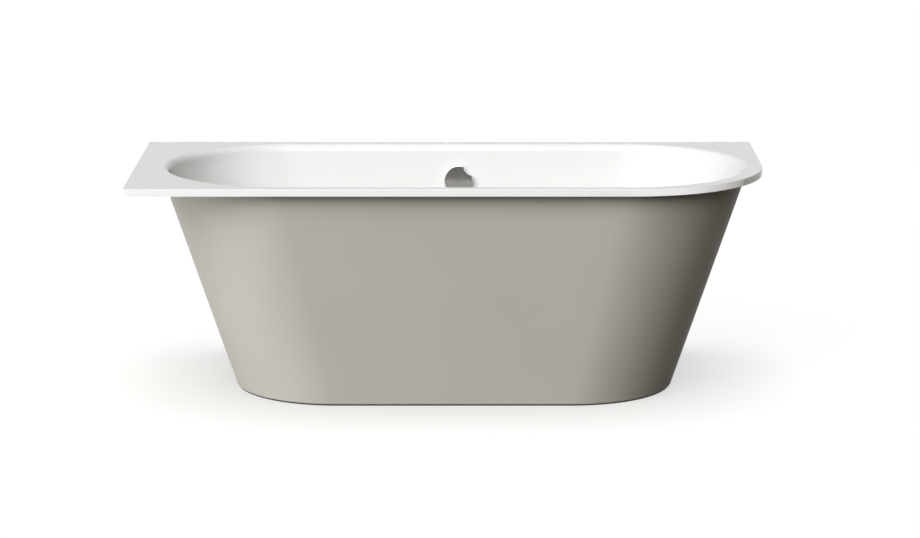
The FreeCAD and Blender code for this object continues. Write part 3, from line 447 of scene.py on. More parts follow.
@dataclass(frozen=True)
class Chrome(Finish):
    """Polished chrome plate with a breath of water film."""

    slot: str = "chrome"
    bright: Colour = (0.760, 0.762, 0.770)
    film: Colour = (0.700, 0.704, 0.712)
    film_scale: float = 45.0
    rough: Span = (0.015, 0.04)

    def paint(self, sheet: NodeSheet) -> None:
        """Dulls the polish where the film lies.

        Args:
            sheet: Node sheet of the finish.
        """
        film = sheet.noise(self.film_scale, detail=3.0)
        sheet.tint(film, self.bright, self.film)
        sheet.shade(Metallic=1.0, Roughness=sheet.spread(film, *self.rough))


@dataclass(frozen=True)
class Brass(Finish):
    """Plain turned brass, tarnished in patches."""

    slot: str = "plain_brass"
    clean: Colour = (0.700, 0.520, 0.250)
    tarnish: Colour = (0.430, 0.310, 0.160)
    patch_scale: float = 70.0
    patch_span: Span = (0.45, 0.7)
    rough: Span = (0.20, 0.42)

    def paint(self, sheet: NodeSheet) -> None:
        """Lays tarnish over the metal.

        Args:
            sheet: Node sheet of the finish.
        """
        patch = sheet.noise(self.patch_scale, detail=4.0)
        sheet.tint(patch, self.clean, self.tarnish, *self.patch_span)
        sheet.shade(Metallic=1.0, Roughness=sheet.spread(patch, *self.rough))


@dataclass(frozen=True)
class Rubber(Finish):
    """Dull black rubber with a grey bloom."""

    slot: str
    black: Colour = (0.018, 0.018, 0.019)
    bloom: Colour = (0.042, 0.042, 0.043)
    bloom_scale: float = 22.0
    bloom_span: Span = (0.4, 0.75)
    rough: Span = (0.62, 0.85)
    grain_scale: float = 700.0
    grain_depth: float = 0.00012
    grain_share: float = 0.35

    def paint(self, sheet: NodeSheet) -> None:
        """Blooms the rubber and roughens it.

        Args:
            sheet: Node sheet of the finish.
        """
        bloom = sheet.noise(self.bloom_scale, detail=5.0)
        sheet.tint(bloom, self.black, self.bloom, *self.bloom_span)
        sheet.shade(Roughness=sheet.spread(bloom, *self.rough))
        sheet.relief(sheet.noise(self.grain_scale), self.grain_depth, self.grain_share)


@dataclass(frozen=True)
class Bitumen(Finish):
    """Bitumen sheet rolled with a waffle pattern."""

    slot: str = "bitumen_sheet"
    face: Colour = (0.016, 0.015, 0.014)
    dust: Colour = (0.050, 0.047, 0.043)
    waffle_scale: float = 32.0
    waffle_depth: float = 0.0008
    waffle_share: float = 0.7
    dust_scale: float = 16.0
    dust_span: Span = (0.45, 0.8)
    rough: Span = (0.48, 0.75)

    def paint(self, sheet: NodeSheet) -> None:
        """Presses two crossing ridges into the sheet and dusts it.

        Args:
            sheet: Node sheet of the finish.
        """
        along, across, up = (sheet.bands(self.waffle_scale, axis) for axis in "XYZ")
        waffle = sheet.joined("MULTIPLY", along, sheet.joined("MAXIMUM", across, up))
        dust = sheet.noise(self.dust_scale, detail=4.0)
        sheet.tint(dust, self.face, self.dust, *self.dust_span)
        sheet.shade(Roughness=sheet.spread(dust, *self.rough))
        sheet.relief(waffle, self.waffle_depth, self.waffle_share)


@dataclass(frozen=True)
class MouldedPlastic(Finish):
    """Injection-moulded plastic with a spark-eroded grain and faint flow marks."""

    slot: str
    base: Colour
    flow: Colour
    flow_scale: float = 9.0
    flow_draw: Place = (1.0, 1.0, 0.35)
    rough: Span = (0.34, 0.46)
    grain_scale: float = 1300.0
    grain_depth: float = 0.00006
    grain_share: float = 0.35

    def paint(self, sheet: NodeSheet) -> None:
        """Draws the flow marks along Z and raises the grain.

        Args:
            sheet: Node sheet of the finish.
        """
        flow = sheet.noise(self.flow_scale, detail=3.0, place=sheet.stretched(self.flow_draw))
        sheet.tint(flow, self.base, self.flow)
        sheet.shade(Roughness=sheet.spread(flow, *self.rough))
        sheet.relief(sheet.noise(self.grain_scale), self.grain_depth, self.grain_share)


FINISHES: Dict[str, Finish] = {finish.slot: finish for finish in (
    BathEnamel(), ApronEnamel(), Galvanised(), ZincPlate(), Chrome(), Brass(), Bitumen(),
    Rubber("black_rubber"), Rubber("butyl_rubber", bloom=(0.060, 0.060, 0.064)),
    MouldedPlastic("white_plastic", (0.700, 0.700, 0.680), (0.660, 0.660, 0.636)),
    MouldedPlastic("grey_plastic", (0.170, 0.177, 0.185), (0.150, 0.157, 0.165)),
    MouldedPlastic("black_plastic", (0.022, 0.022, 0.024), (0.032, 0.032, 0.034)),
)}


def grid_faces(rows: int, columns: int, close_rows: bool, close_columns: bool) -> np.ndarray:
    """Quads of a grid of points, row after row.

    Args:
        rows: Number of rows.
        columns: Number of points in a row.
        close_rows: Whether the last row joins the first.
        close_columns: Whether each row is a loop.

    Returns:
        Indices, four to a face.
    """
    index = np.arange(rows * columns).reshape(rows, columns)
    if close_rows:
        index = np.vstack([index, index[:1]])
    if close_columns:
        index = np.hstack([index, index[:, :1]])
    corners = (index[:-1, :-1], index[:-1, 1:], index[1:, 1:], index[1:, :-1])
    return np.stack(corners, axis=-1).reshape(-1, 4)


def loop_faces(first: np.ndarray, second: np.ndarray) -> np.ndarray:
    """Quads between two closed loops of the same number of point indices."""
    return np.stack([first, np.roll(first, -1), np.roll(second, -1), second], axis=-1)


def between(first: np.ndarray, second: np.ndarray, shares: Sequence[float]) -> np.ndarray:
    """Rows part of the way from one row of points to another, at each share."""
    share = np.asarray(shares)[:, None, None]
    return first[None] + (second - first)[None] * share


def run(start: Sequence[float], end: Sequence[float], steps: int) -> np.ndarray:
    """Points on a straight line in equal steps, without its end."""
    share = np.arange(steps)[:, None] / steps
    return np.asarray(start) * (1 - share) + np.asarray(end) * share


def corner(center: Sequence[float], radius: float, start: float, sweep: float, steps: int) -> np.ndarray:
    """Points on a plan arc in equal steps, without its end, angles in degrees."""
    angle = np.radians(start + sweep * np.arange(steps) / steps)
    return np.asarray(center) + radius * np.stack([np.cos(angle), np.sin(angle)], axis=-1)


def turned(profile: np.ndarray, columns: int) -> np.ndarray:
    """Turns a profile once round the Z axis: the radius times the cosine and sine of the angle.

    Args:
        profile: Radius and height of each row.
        columns: Points in a row.

    Returns:
        Rows of points.
    """
    angle = np.linspace(0.0, 2 * math.pi, columns, endpoint=False)
    radius, height = profile[:, :1], profile[:, 1:]
    return np.stack([radius * np.cos(angle), radius * np.sin(angle), height + 0 * angle], axis=-1)


def bevel(radius: float, steps: int) -> np.ndarray:
    """Inset and drop round a quarter-round edge: the radius times one less the sine and the cosine."""
    turn = np.linspace(0.0, math.pi / 2, steps)
    return radius * (1 - np.stack([np.sin(turn), np.cos(turn)], axis=-1))


def set_up(name: str, data: bpy.types.ID) -> bpy.types.Object:
    """Adds an object to the scene.

    Args:
        name: Name of the object.
        data: Its mesh, lamp or camera.

    Returns:
        The object, at the origin.
    """
    made = bpy.data.objects.new(name, data)
    bpy.context.collection.objects.link(made)
    return made


def smooth(name: str, mesh: bpy.types.Mesh, crease: Crease) -> bpy.types.Object:
    """Smooths a mesh and adds it to the scene.

    Args:
        name: Name of the piece.
        mesh: Mesh in its place.
        crease: Angle above which edges stay sharp.

    Returns:
        The new object.
    """
    mesh.shade_smooth()
    mesh.set_sharp_from_angle(angle=math.radians(crease.value))
    return set_up(name, mesh)


def add_piece(name: str, points: np.ndarray, faces: Sequence[Sequence[int]],
              crease: Crease) -> bpy.types.Object:
    """Makes a smooth closed mesh object at the origin.

    Args:
        name: Name of the piece.
        points: Points in the part's frame, in metres.
        faces: Indices of each face's points.
        crease: Angle above which edges stay sharp.

    Returns:
        The new object, with its faces pointing outwards.
    """
    mesh = bpy.data.meshes.new(name)
    mesh.from_pydata(points.reshape(-1, 3).tolist(), [], [list(face) for face in faces])
    made = bmesh.new()
    made.from_mesh(mesh)
    bmesh.ops.remove_doubles(made, verts=made.verts, dist=MERGE_DISTANCE)
    bmesh.ops.dissolve_degenerate(made, edges=made.edges, dist=MERGE_DISTANCE)
    bmesh.ops.recalc_face_normals(made, faces=made.faces)
    made.to_mesh(mesh)
    made.free()
    return smooth(name, mesh, crease)


def dress(piece: bpy.types.Object, slot: str, body: str, *nodes: str) -> Tuple[str, ...]:
    """Gives a piece its finish and its body, and hides the nodes that it stands for.

    Args:
        piece: Piece in place.
        slot: Material slot of the record.
        body: Body that carries the piece.
        nodes: CAD nodes that the piece replaces.

    Returns:
        Those nodes.
    """
    piece.data.materials.clear()
    piece.data.materials.append(FINISHES[slot].material())
    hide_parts(*nodes)
    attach(piece, body)
    log.info("%s: %d faces, %s", piece.name, len(piece.data.polygons), slot)
    return nodes


@dataclass
class BathShell:
    """Pressed bath: a rim square to two walls round a basin with leaning sides and round ends."""

    basin_x: float = 0.020
    basin_half: float = 0.797
    basin_half_width: float = 0.347
    basin_depth: float = 0.430
    lip: float = 0.022
    lip_start: float = 6.0
    steep_turn: float = 84.0
    steep_drop: float = 0.150
    side_slope: float = 11.0
    end_slope: float = 25.0
    floor_radius: float = 0.110
    skirt: float = 0.019
    edge: float = 0.002
    small_corner: float = 0.004
    large_corner: float = 0.370
    return_lip: float = 0.010
    wall: float = 0.003
    recess_radius: float = 0.0416
    recess_depth: float = 0.004
    waste_shift: float = 0.006
    waste_hole: float = 0.026
    overflow_drop: float = 0.098
    overflow_hole: float = 0.026
    patch_half: float = 0.040
    patch_steps: int = 8
    ring_shares: Tuple[float, ...] = (0.35, 0.7, 0.9, 1.0)
    lip_steps: int = 10
    above_steps: int = 6
    below_steps: int = 10
    floor_steps: int = 18
    edge_steps: int = 6
    stretch_steps: int = 12
    end_steps: int = 96
    right_steps: Tuple[int, ...] = (3, 42, 25, 4, 23)
    left_steps: Tuple[int, ...] = (23, 4, 42, 4, 24)
    plate_shares: Tuple[float, ...] = (0.03, 0.35, 0.7, 0.97)

    def __post_init__(self) -> None:
        """Takes the rim's box from the frame and lays out the columns round the basin."""
        self.low, self.high = (np.array(point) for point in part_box("bath_shell"))
        self.stretch = math.tan(math.radians(self.end_slope)) / math.tan(math.radians(self.side_slope))
        self.wall_angle = math.radians(90.0 - self.side_slope)
        self.end_angle = math.radians(90.0 - self.end_slope)
        self.waste_x = self.basin_x + self.waste_shift
        share = np.arange(1, self.stretch_steps) / self.stretch_steps
        patch = self.waste_shift + np.linspace(-self.patch_half, self.patch_half, self.patch_steps + 1)
        offset = np.concatenate([patch[0] * (1 - share[::-1]), patch, patch[-1] * (1 - share)])
        reach = np.concatenate([-share[::-1], 0 * patch, share])
        turn = np.linspace(-math.pi / 2, math.pi / 2, self.end_steps + 1)
        side, end = np.ones_like(offset), np.ones_like(turn)
        self.offset = np.concatenate([offset, 0 * end, offset[::-1], 0 * end])
        self.reach = np.concatenate([reach, end, reach[::-1], -end])
        self.out_x = np.concatenate([0 * side, np.cos(turn), 0 * side, -np.cos(turn)])
        self.out_y = np.concatenate([-side, np.sin(turn), side, -np.sin(turn)])
        self.side_columns = len(offset)
        self.patch_column = self.side_columns + self.end_steps + self.stretch_steps
        # The lip's stations without the last, then the rows above the hole without their two ends.
        self.patch_row = (self.lip_steps - 1) + (self.above_steps - 2)

    def lip_stations(self) -> np.ndarray:
        """Goes down the rounded lip: a circle of the lip's radius.

        Returns:
            Inset, drop and turn of each station.
        """
        start = math.radians(self.lip_start)
        angle = np.linspace(start, self.wall_angle, self.lip_steps)
        drop = self.lip * (math.cos(start) - np.cos(angle))
        return np.stack([self.lip * np.sin(angle), drop, angle], axis=-1)

    def wall_inset(self, drop: Union[float, np.ndarray]) -> Union[float, np.ndarray]:
        """Inset of the leaning long wall at a drop: it moves in by the tangent of its slope."""
        inset, start, _ = self.lip_stations()[-1]
        return inset + (drop - start) * math.tan(math.radians(self.side_slope))

    def wall_stations(self) -> np.ndarray:
        """Goes down the straight leaning wall, with even rows across the overflow hole.

        Returns:
            Inset, drop and turn of each station.
        """
        half = self.patch_half * math.cos(math.radians(self.side_slope))
        patch = self.overflow_drop + np.linspace(-half, half, self.patch_steps + 1)
        top, base = self.lip_stations()[-1, 1], self.floor_stations()[0, 1]
        above = np.linspace(top, patch[0], self.above_steps)[1:-1]
        below = np.linspace(patch[-1], base, self.below_steps)[1:-1]
        drop = np.concatenate([above, patch, below])
        return np.stack([self.wall_inset(drop), drop, np.full_like(drop, self.wall_angle)], axis=-1)

    def floor_stations(self) -> np.ndarray:
        """Goes round the curve from wall to floor: a circle of the floor radius.

        Returns:
            Inset, drop and turn of each station.
        """
        start = self.basin_depth - self.floor_radius * (1 - math.cos(self.wall_angle))
        center = self.wall_inset(start) + self.floor_radius * math.sin(self.wall_angle)
        angle = np.linspace(self.wall_angle, 0.0, self.floor_steps)
        inset = center - self.floor_radius * np.sin(angle)
        return np.stack([inset, self.basin_depth - self.floor_radius * (1 - np.cos(angle)), angle], axis=-1)

    def end_stations(self, stations: np.ndarray) -> Tuple[np.ndarray, np.ndarray]:
        """Inset and turn of the round ends at the drops of the long side's stations.

        The lip has the same radius as at the side and turns down as far as the end's flatter wall. Below
        the side's lip, the end moves in by the side's inset times the stretch of the flatter slope.

        Args:
            stations: Inset, drop and turn of the long side.

        Returns:
            Insets and turns.
        """
        inset, drop, turn = (stations[:, k:k + 1] for k in range(3))
        lip_inset, lip_drop, _ = self.lip_stations()[-1]
        level = math.cos(math.radians(self.lip_start))
        lip_turn = np.arccos(np.maximum(level - drop / self.lip, math.cos(self.end_angle)))
        past = np.minimum(drop, lip_drop) - self.lip * (level - np.cos(lip_turn))
        reach = self.lip * np.sin(lip_turn) + past * math.tan(math.radians(self.end_slope))
        wall_turn = np.maximum(np.arctan(np.tan(turn) / self.stretch), LEAST_TURN)
        below = self.stretch * np.maximum(inset - lip_inset, 0.0)
        return reach + below, np.where(drop < lip_drop, lip_turn, wall_turn)

    def steep_shift(self, stations: np.ndarray) -> np.ndarray:
        """How far each section of the left end moves out, as its wall starts steeply below the lip.

        The lip's circle turns down to the steep turn. Then a cubic curve goes back to the end wall.

        Args:
            stations: Inset, drop and turn of the long side.

        Returns:
            Shift of each station, as a column.
        """
        drop, inset = stations[:, 1:2], self.end_stations(stations)[0]
        last = math.radians(self.steep_turn)
        level = math.cos(math.radians(self.lip_start))
        lip_drop, lip_inset = self.lip * (level - math.cos(last)), self.lip * math.sin(last)
        turn = np.arccos(np.maximum(level - drop / self.lip, math.cos(last)))
        span = self.steep_drop - lip_drop
        share = np.clip((drop - lip_drop) / span, 0.0, 1.0)
        order = np.argsort(drop[:, 0])
        rise = np.interp(self.steep_drop, drop[order, 0], inset[order, 0]) - lip_inset
        leans = span / math.tan(last), span * math.tan(math.radians(self.end_slope))
        ease = rise * share * share * (3 - 2 * share)
        bend = share * (1 - share) * ((1 - share) * leans[0] - share * leans[1])
        steep = self.lip * np.sin(turn) + ease + bend
        return np.where(drop < self.steep_drop, inset - steep, 0.0)

    def basin_rows(self, stations: np.ndarray, skin: float) -> np.ndarray:
        """Level sections of the basin: straight sides and half-round ends, pushed out by the skin.

        The skin goes along the wall's normal.

        Args:
            stations: Inset, drop and turn of each section.
            skin: Distance outwards from the enamelled face.

        Returns:
            One row of points for each station.
        """
        inset, drop, turn = (stations[:, k:k + 1] for k in range(3))
        end_inset, end_turn = self.end_stations(stations)
        end_skin = skin * (1 - np.cos(turn) * np.cos(end_turn)) / np.sin(end_turn)
        half_width = self.basin_half_width - inset + skin * np.sin(turn)
        straight = self.basin_half - end_inset + end_skin - half_width
        steep = self.steep_shift(stations) * np.maximum(-self.out_x, 0.0) ** 2
        x = self.basin_x + self.offset + straight * self.reach + (half_width + steep) * self.out_x
        z = self.high[2] - drop - skin * np.cos(turn) + 0 * x
        return np.stack([x, (half_width + steep) * self.out_y, z], axis=-1)

    def rim_row(self, inset: float, z: float) -> np.ndarray:
        """Row round the rim's outline, drawn in by an inset: straight runs with round corners.

        Args:
            inset: Distance in from the outline.
            z: Height of the row.

        Returns:
            Points in step with the basin's columns.
        """
        left, right = self.low[0] + inset, self.high[0] - inset
        front, back = -self.high[1] + inset, self.high[1] - inset
        small = max(self.small_corner - inset, self.edge / 2)
        large = self.large_corner - inset
        straight = self.basin_half - self.basin_half_width
        start, end = self.basin_x - straight, self.basin_x + straight
        side = self.basin_x + (self.offset + straight * self.reach)[:self.side_columns]
        right_runs = zip(self.right_steps, (
            ((end, front), (right - large, front)),
            ((right - large, front + large), large, 270.0, 90.0),
            ((right, front + large), (right, back - small)),
            ((right - small, back - small), small, 0.0, 90.0),
            ((right - small, back), (end, back)),
        ))
        left_runs = zip(self.left_steps, (
            ((start, back), (left + small, back)),
            ((left + small, back - small), small, 90.0, 90.0),
            ((left, back - small), (left, front + small)),
            ((left + small, front + small), small, 180.0, 90.0),
            ((left + small, front), (start, front)),
        ))
        rows = []
        for along, y, runs in ((side, front, right_runs), (side[::-1], back, left_runs)):
            rows.append(np.stack([along, np.full_like(along, y)], axis=-1))
            rows += [(corner if len(shape) == 4 else run)(*shape, steps) for steps, shape in runs]
        plan = np.concatenate(rows)
        return np.column_stack([plan, np.full(len(plan), z)])

    def round_row(self, radius: float, z: float) -> np.ndarray:
        """Row round the waste, in step with the columns of the basin's floor: a circle.

        Args:
            radius: Radius of the circle.
            z: Height of the row.

        Returns:
            Points of the row.
        """
        floor = self.basin_rows(self.floor_stations()[-1:], 0.0)[0]
        angle = np.arctan2(floor[:, 1], floor[:, 0] - self.waste_x)
        x = self.waste_x + radius * np.cos(angle)
        return np.stack([x, radius * np.sin(angle), np.full_like(angle, z)], axis=-1)

    def rows(self) -> Tuple[np.ndarray, np.ndarray, int, int]:
        """All rows of the shell, up the face that shows, over the rim and down the hidden face.

        Returns:
            The rows, the hidden side value of each row, and the first patch rows of the two faces.
        """
        top, floor = self.high[2], self.high[2] - self.basin_depth
        stations = np.concatenate([self.lip_stations(), self.wall_stations(), self.floor_stations()[1:]])
        stations = np.delete(stations, self.lip_steps - 1, axis=0)
        inner = self.basin_rows(stations[::-1], 0.0)
        outer = self.basin_rows(stations, self.wall)
        sink = floor - self.recess_depth
        hole_top = self.round_row(self.waste_hole, sink)
        recess = [self.round_row(self.recess_radius, z) for z in (sink, floor)]
        cup_radius = self.recess_radius + self.wall
        cup = [self.round_row(cup_radius, z - self.wall) for z in (floor, sink)]
        hole_low = self.round_row(self.waste_hole, sink - self.wall)
        edge = [self.rim_row(inset, top - drop) for inset, drop in bevel(self.edge, self.edge_steps)]
        base = top - self.skirt
        under = [self.rim_row(inset, z) for inset, z in (
            (0.0, base), (self.return_lip, base), (self.return_lip, base + self.wall),
            (self.wall, base + self.wall), (self.wall, top - self.wall),
        )]
        shown = [hole_top[None], np.stack(recess), between(recess[1], inner[0], self.plate_shares), inner,
                 between(inner[-1], edge[0], self.plate_shares), np.stack(edge)]
        hidden = [np.stack(under), between(under[-1], outer[0], self.plate_shares), outer,
                  between(outer[-1], cup[0], self.plate_shares), np.stack(cup), hole_low[None]]
        shown_count = sum(len(block) for block in shown)
        inner_start = sum(len(block) for block in shown[:3])
        outer_start = shown_count + sum(len(block) for block in hidden[:2])
        every = np.concatenate(shown + hidden)
        coat = (np.arange(len(every)) > shown_count).astype(float)
        inner_patch = inner_start + len(stations) - 1 - self.patch_row
        return every, coat, inner_patch, outer_start + self.patch_row

    def patch_loop(self, index: np.ndarray, first: int, step: int) -> np.ndarray:
        """Goes round the square of the overflow hole, from its top row.

        Args:
            index: Point indices of all rows.
            first: Row at the top of the square.
            step: Step from one row to the row below.

        Returns:
            Point indices of the loop.
        """
        rows = first + step * np.arange(self.patch_steps + 1)
        square = index[rows][:, self.patch_column:self.patch_column + self.patch_steps + 1]
        return np.concatenate([square[0, :-1], square[:-1, -1], square[-1, :0:-1], square[:0:-1, 0]])

    def hole_rings(self, loop: np.ndarray) -> np.ndarray:
        """Goes straight from the square to the overflow hole's circle, in the plane of the wall.

        Args:
            loop: Points round the square.

        Returns:
            Rings of points.
        """
        middle = loop.mean(axis=0)
        away = loop - middle
        circle = middle + away / np.linalg.norm(away, axis=1, keepdims=True) * self.overflow_hole
        return between(loop, circle, self.ring_shares)

    def build(self) -> Tuple[str, ...]:
        """Joins the rows into one closed shell, opens the overflow hole and dresses the shell.

        Returns:
            The nodes that it stands for.
        """
        rows, coat, inner_patch, outer_patch = self.rows()
        count, columns = rows.shape[:2]
        index = np.arange(count * columns).reshape(count, columns)
        inside = np.zeros((count, columns), bool)
        patch_columns = slice(self.patch_column, self.patch_column + self.patch_steps)
        inside[inner_patch - self.patch_steps:inner_patch, patch_columns] = True
        inside[outer_patch:outer_patch + self.patch_steps, patch_columns] = True
        faces = [grid_faces(count, columns, True, True)[~inside.ravel()]]
        points, hidden, last = [rows.reshape(-1, 3)], [np.repeat(coat, columns)], []
        start = count * columns
        for first, step, side in ((inner_patch, -1, 0.0), (outer_patch, 1, 1.0)):
            loop = self.patch_loop(index, first, step)
            rings = self.hole_rings(points[0][loop])
            fresh = start + np.arange(rings.shape[0] * rings.shape[1]).reshape(rings.shape[:2])
            chain = np.vstack([loop[None], fresh])
            faces += [loop_faces(ring, following) for ring, following in zip(chain, chain[1:])]
            points.append(rings.reshape(-1, 3))
            hidden.append(np.full(fresh.size, side))
            last.append(fresh[-1])
            start += fresh.size
        faces.append(loop_faces(*last))
        every = np.concatenate(points)
        piece = add_piece("bath_shell_enamelled", every, np.concatenate(faces), Crease.PRESSED)
        sides = piece.data.attributes.new(HIDDEN_SIDE, "FLOAT", "POINT")
        sides.data.foreach_set("value", np.concatenate(hidden).astype(np.float32))
        return dress(piece, "white_enamel", Body.BATH.value, "bath_shell")

    def overflow_frame(self) -> np.ndarray:
        """Sets the overflow's axes on the leaning back wall, by the sine and cosine of its turn.

        Returns:
            Directions along, up and out of the wall, and the origin.
        """
        angle = self.wall_angle
        place = (self.waste_x, self.basin_half_width - self.wall_inset(self.overflow_drop),
                 self.high[2] - self.overflow_drop)
        up = (0.0, math.cos(angle), math.sin(angle))
        out = (0.0, -math.sin(angle), math.cos(angle))
        return np.array([(1.0, 0.0, 0.0), up, out, place])


@dataclass
class Apron:
    """Leaning panel round the front and both ends, with a base flange and notched top ends."""

    middle_x: float = 0.014
    top_half: float = 0.795
    base_half: float = 0.595
    top_front: float = -0.345
    base_front: float = -0.299
    top_round: float = 0.345
    base_round: float = 0.280
    base_z: float = 0.004
    top_z: float = 0.587
    back_y: float = 0.373
    wall: float = 0.0025
    flange: float = 0.022
    notch: float = 0.020
    notch_z: float = 0.578
    base_edge: float = 0.0015
    top_edge: float = 0.0006
    hold: float = 0.004
    edge_steps: int = 4
    end_steps: int = 10
    round_steps: int = 48
    front_steps: int = 16
    rise_steps: int = 10

    def columns(self) -> Tuple[np.ndarray, ...]:
        """Lays out the columns of the panel, from the left end's back round the front to the right end's.

        Returns:
            Direction, side, run up the end, its start and top height of each column.
        """
        up = np.concatenate([[1.0, 1.0, 1.0], np.linspace(1.0, 0.0, self.end_steps)[1:-1]])
        turn = np.linspace(math.pi, 1.5 * math.pi, self.round_steps + 1)
        front = np.linspace(0.0, 1.0, self.front_steps + 1)[1:-1]
        start = np.full_like(up, self.back_y - self.notch)
        start[0] = self.back_y
        top = np.full_like(up, self.top_z)
        top[:2] = self.notch_z
        ones = np.ones_like(turn)
        direction = np.concatenate([0 * up + math.pi, turn, 0 * front + 1.5 * math.pi,
                                    3 * math.pi - turn[::-1], 0 * up + 2 * math.pi])
        side = np.concatenate([0 * up, 0 * ones, front, ones, 0 * up + 1.0])
        climb = np.concatenate([up, 0 * ones, 0 * front, 0 * ones, up[::-1]])
        begin = np.concatenate([start, ones, 0 * front + 1.0, ones, start[::-1]])
        level = np.full(2 * len(ones) + len(front), self.top_z)
        height = np.concatenate([top, level, top[::-1]])
        return direction, side, climb, begin, height

    def row(self, inset: float, lift: float, share: float) -> np.ndarray:
        """Row of the panel at an inset: straight ends, round corners and a straight front.

        The outline is drawn in as it goes down, by straight lines from top to base.

        Args:
            inset: Distance in from the outer face.
            lift: Height above the base.
            share: Share of the way from there to the column's top.

        Returns:
            Points of the row.
        """
        direction, side, climb, begin, height = self.columns()
        z = self.base_z + lift + (height - self.base_z - lift) * share
        rise = (z - self.base_z) / (self.top_z - self.base_z)
        radius = self.base_round + (self.top_round - self.base_round) * rise - inset
        half = self.base_half + (self.top_half - self.base_half) * rise - inset
        front = self.base_front + (self.top_front - self.base_front) * rise + inset
        center = self.middle_x + (half - radius) * (2 * side - 1)
        x = center + radius * np.cos(direction)
        y = front + radius + radius * np.sin(direction) + climb * (begin - front - radius)
        return np.stack([x, y, z], axis=-1)

    def build(self) -> Tuple[str, ...]:
        """Carries the folded section along the outline and closes its two ends.

        Returns:
            The nodes that it stands for.
        """
        rounded = [(inset, lift, 0.0) for inset, lift in bevel(self.base_edge, self.edge_steps)]
        levels = [self.hold, *np.linspace(0.0, 1.0, self.rise_steps)[1:-1], 1.0 - self.hold]
        rise = [(0.0, self.base_edge, share) for share in levels]
        near_top = 1.0 - self.top_edge / self.top_z
        head = [(0.0, 0.0, near_top), (self.top_edge, 0.0, 1.0), (self.wall, 0.0, 1.0)]
        back = [(self.wall, self.wall, 0.5), (self.wall, self.wall, 0.0), (self.flange, self.wall, 0.0),
                (self.flange, 0.0, 0.0)]
        section = rounded + rise + head + back
        rows = np.stack([self.row(*station) for station in section])
        count, columns = rows.shape[:2]
        faces = grid_faces(count, columns, True, False).tolist()
        faces += [(np.arange(count) * columns).tolist(), (np.arange(count) * columns + columns - 1).tolist()]
        piece = add_piece("apron_panel_enamelled", rows, faces, Crease.PRESSED)
        return dress(piece, "greige_enamel", Body.BATH.value, "apron_panel")


@dataclass
class TurnKnob:
    """Hollow round knob with a finger notch, on the overflow's axes."""

    axes: np.ndarray
    radius: float = 0.0395
    notch_radius: float = 0.029
    notch_place: float = 0.0595
    notch_angle: float = 43.0
    back: float = 0.008
    front: float = 0.021
    plate: float = 0.004
    wall: float = 0.0025
    edge: float = 0.0016
    hub: float = 0.008
    bore: float = 0.004
    arc_steps: int = 112
    notch_steps: int = 36
    edge_steps: int = 6
    face_shares: Tuple[float, ...] = (0.0, 0.35, 0.7, 0.95)

    def outline(self, inset: float) -> np.ndarray:
        """Knob's outline drawn in by an inset: an arc of the disc and an arc of the notch.

        The arcs meet where the distances from the two centres equal the two radii.

        Args:
            inset: Distance in from the outline.

        Returns:
            Points across and up the wall.
        """
        disc, notch, place = self.radius - inset, self.notch_radius + inset, self.notch_place
        opening = math.degrees(math.acos((disc ** 2 + place ** 2 - notch ** 2) / (2 * disc * place)))
        swing = math.degrees(math.acos((notch ** 2 + place ** 2 - disc ** 2) / (2 * notch * place)))
        turn = math.radians(self.notch_angle)
        center = (place * math.cos(turn), place * math.sin(turn))
        round_arc = corner((0.0, 0.0), disc, self.notch_angle + opening, 360.0 - 2 * opening, self.arc_steps)
        notch_arc = corner(center, notch, self.notch_angle + 180.0 + swing, -2 * swing, self.notch_steps)
        return np.concatenate([round_arc, notch_arc])

    def level(self, plan: np.ndarray, depth: float) -> np.ndarray:
        """Row of plan points at a depth out of the wall."""
        return np.column_stack([plan, np.full(len(plan), depth)])

    def build(self) -> Tuple[str, ...]:
        """Goes from the middle of the face over the edge, round the wall and hub and into the bore.

        Returns:
            The nodes that it stands for.
        """
        face = self.outline(self.edge)
        edge = bevel(self.edge, self.edge_steps)
        inner = self.outline(self.wall)
        ray = inner / np.linalg.norm(inner, axis=1, keepdims=True)
        ceiling = self.front - self.plate
        rows = [self.level(face * share, self.front) for share in self.face_shares]
        rows += [self.level(self.outline(inset), self.front - drop) for inset, drop in edge]
        rows += [self.level(self.outline(inset), depth) for inset, depth in (
            (0.0, self.back), (self.wall, self.back), (self.wall, ceiling))]
        rows += [self.level(ray * radius, depth) for radius, depth in (
            (self.hub, ceiling), (self.hub, self.back), (self.bore, self.back), (self.bore, ceiling),
            (0.0, ceiling))]
        local = np.stack(rows)
        points = local @ self.axes[:3] + self.axes[3]
        faces = grid_faces(len(rows), len(face), False, True)
        piece = add_piece("overflow_knob_chromed", points, faces, Crease.ROUND)
        return dress(piece, "chrome", Body.KNOB.value, "overflow_knob")


@dataclass
class DrainPlug:
    """Domed chrome plug over the waste: a shallow ball cap on a short rolled rim."""

    crown: float = 0.0045
    roll: float = 0.0006
    columns: int = 96
    dome_steps: int = 14

    def build(self) -> Tuple[str, ...]:
        """Turns the plug's profile about the waste's axis.

        Returns:
            The nodes that it stands for.
        """
        low, high = (np.array(point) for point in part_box("drain_plug"))
        radius = (high[0] - low[0]) / 2
        ball = (radius ** 2 + self.crown ** 2) / (2 * self.crown)
        reach = np.linspace(radius - self.roll, 0.0, self.dome_steps)
        dome = np.stack([reach, high[2] - ball + np.sqrt(ball ** 2 - reach ** 2)], axis=-1)
        foot = np.array([(0.0, low[2]), (radius - self.roll, low[2]), (radius, low[2] + self.roll),
                         (radius, dome[0, 1] - self.roll)])
        rows = turned(np.concatenate([foot, dome]), self.columns)
        rows[..., :2] += (low[:2] + high[:2]) / 2
        faces = grid_faces(len(rows), self.columns, False, True)
        piece = add_piece("drain_plug_chromed", rows, faces, Crease.ROUND)
        return dress(piece, "chrome", Body.PLUG.value, "drain_plug")


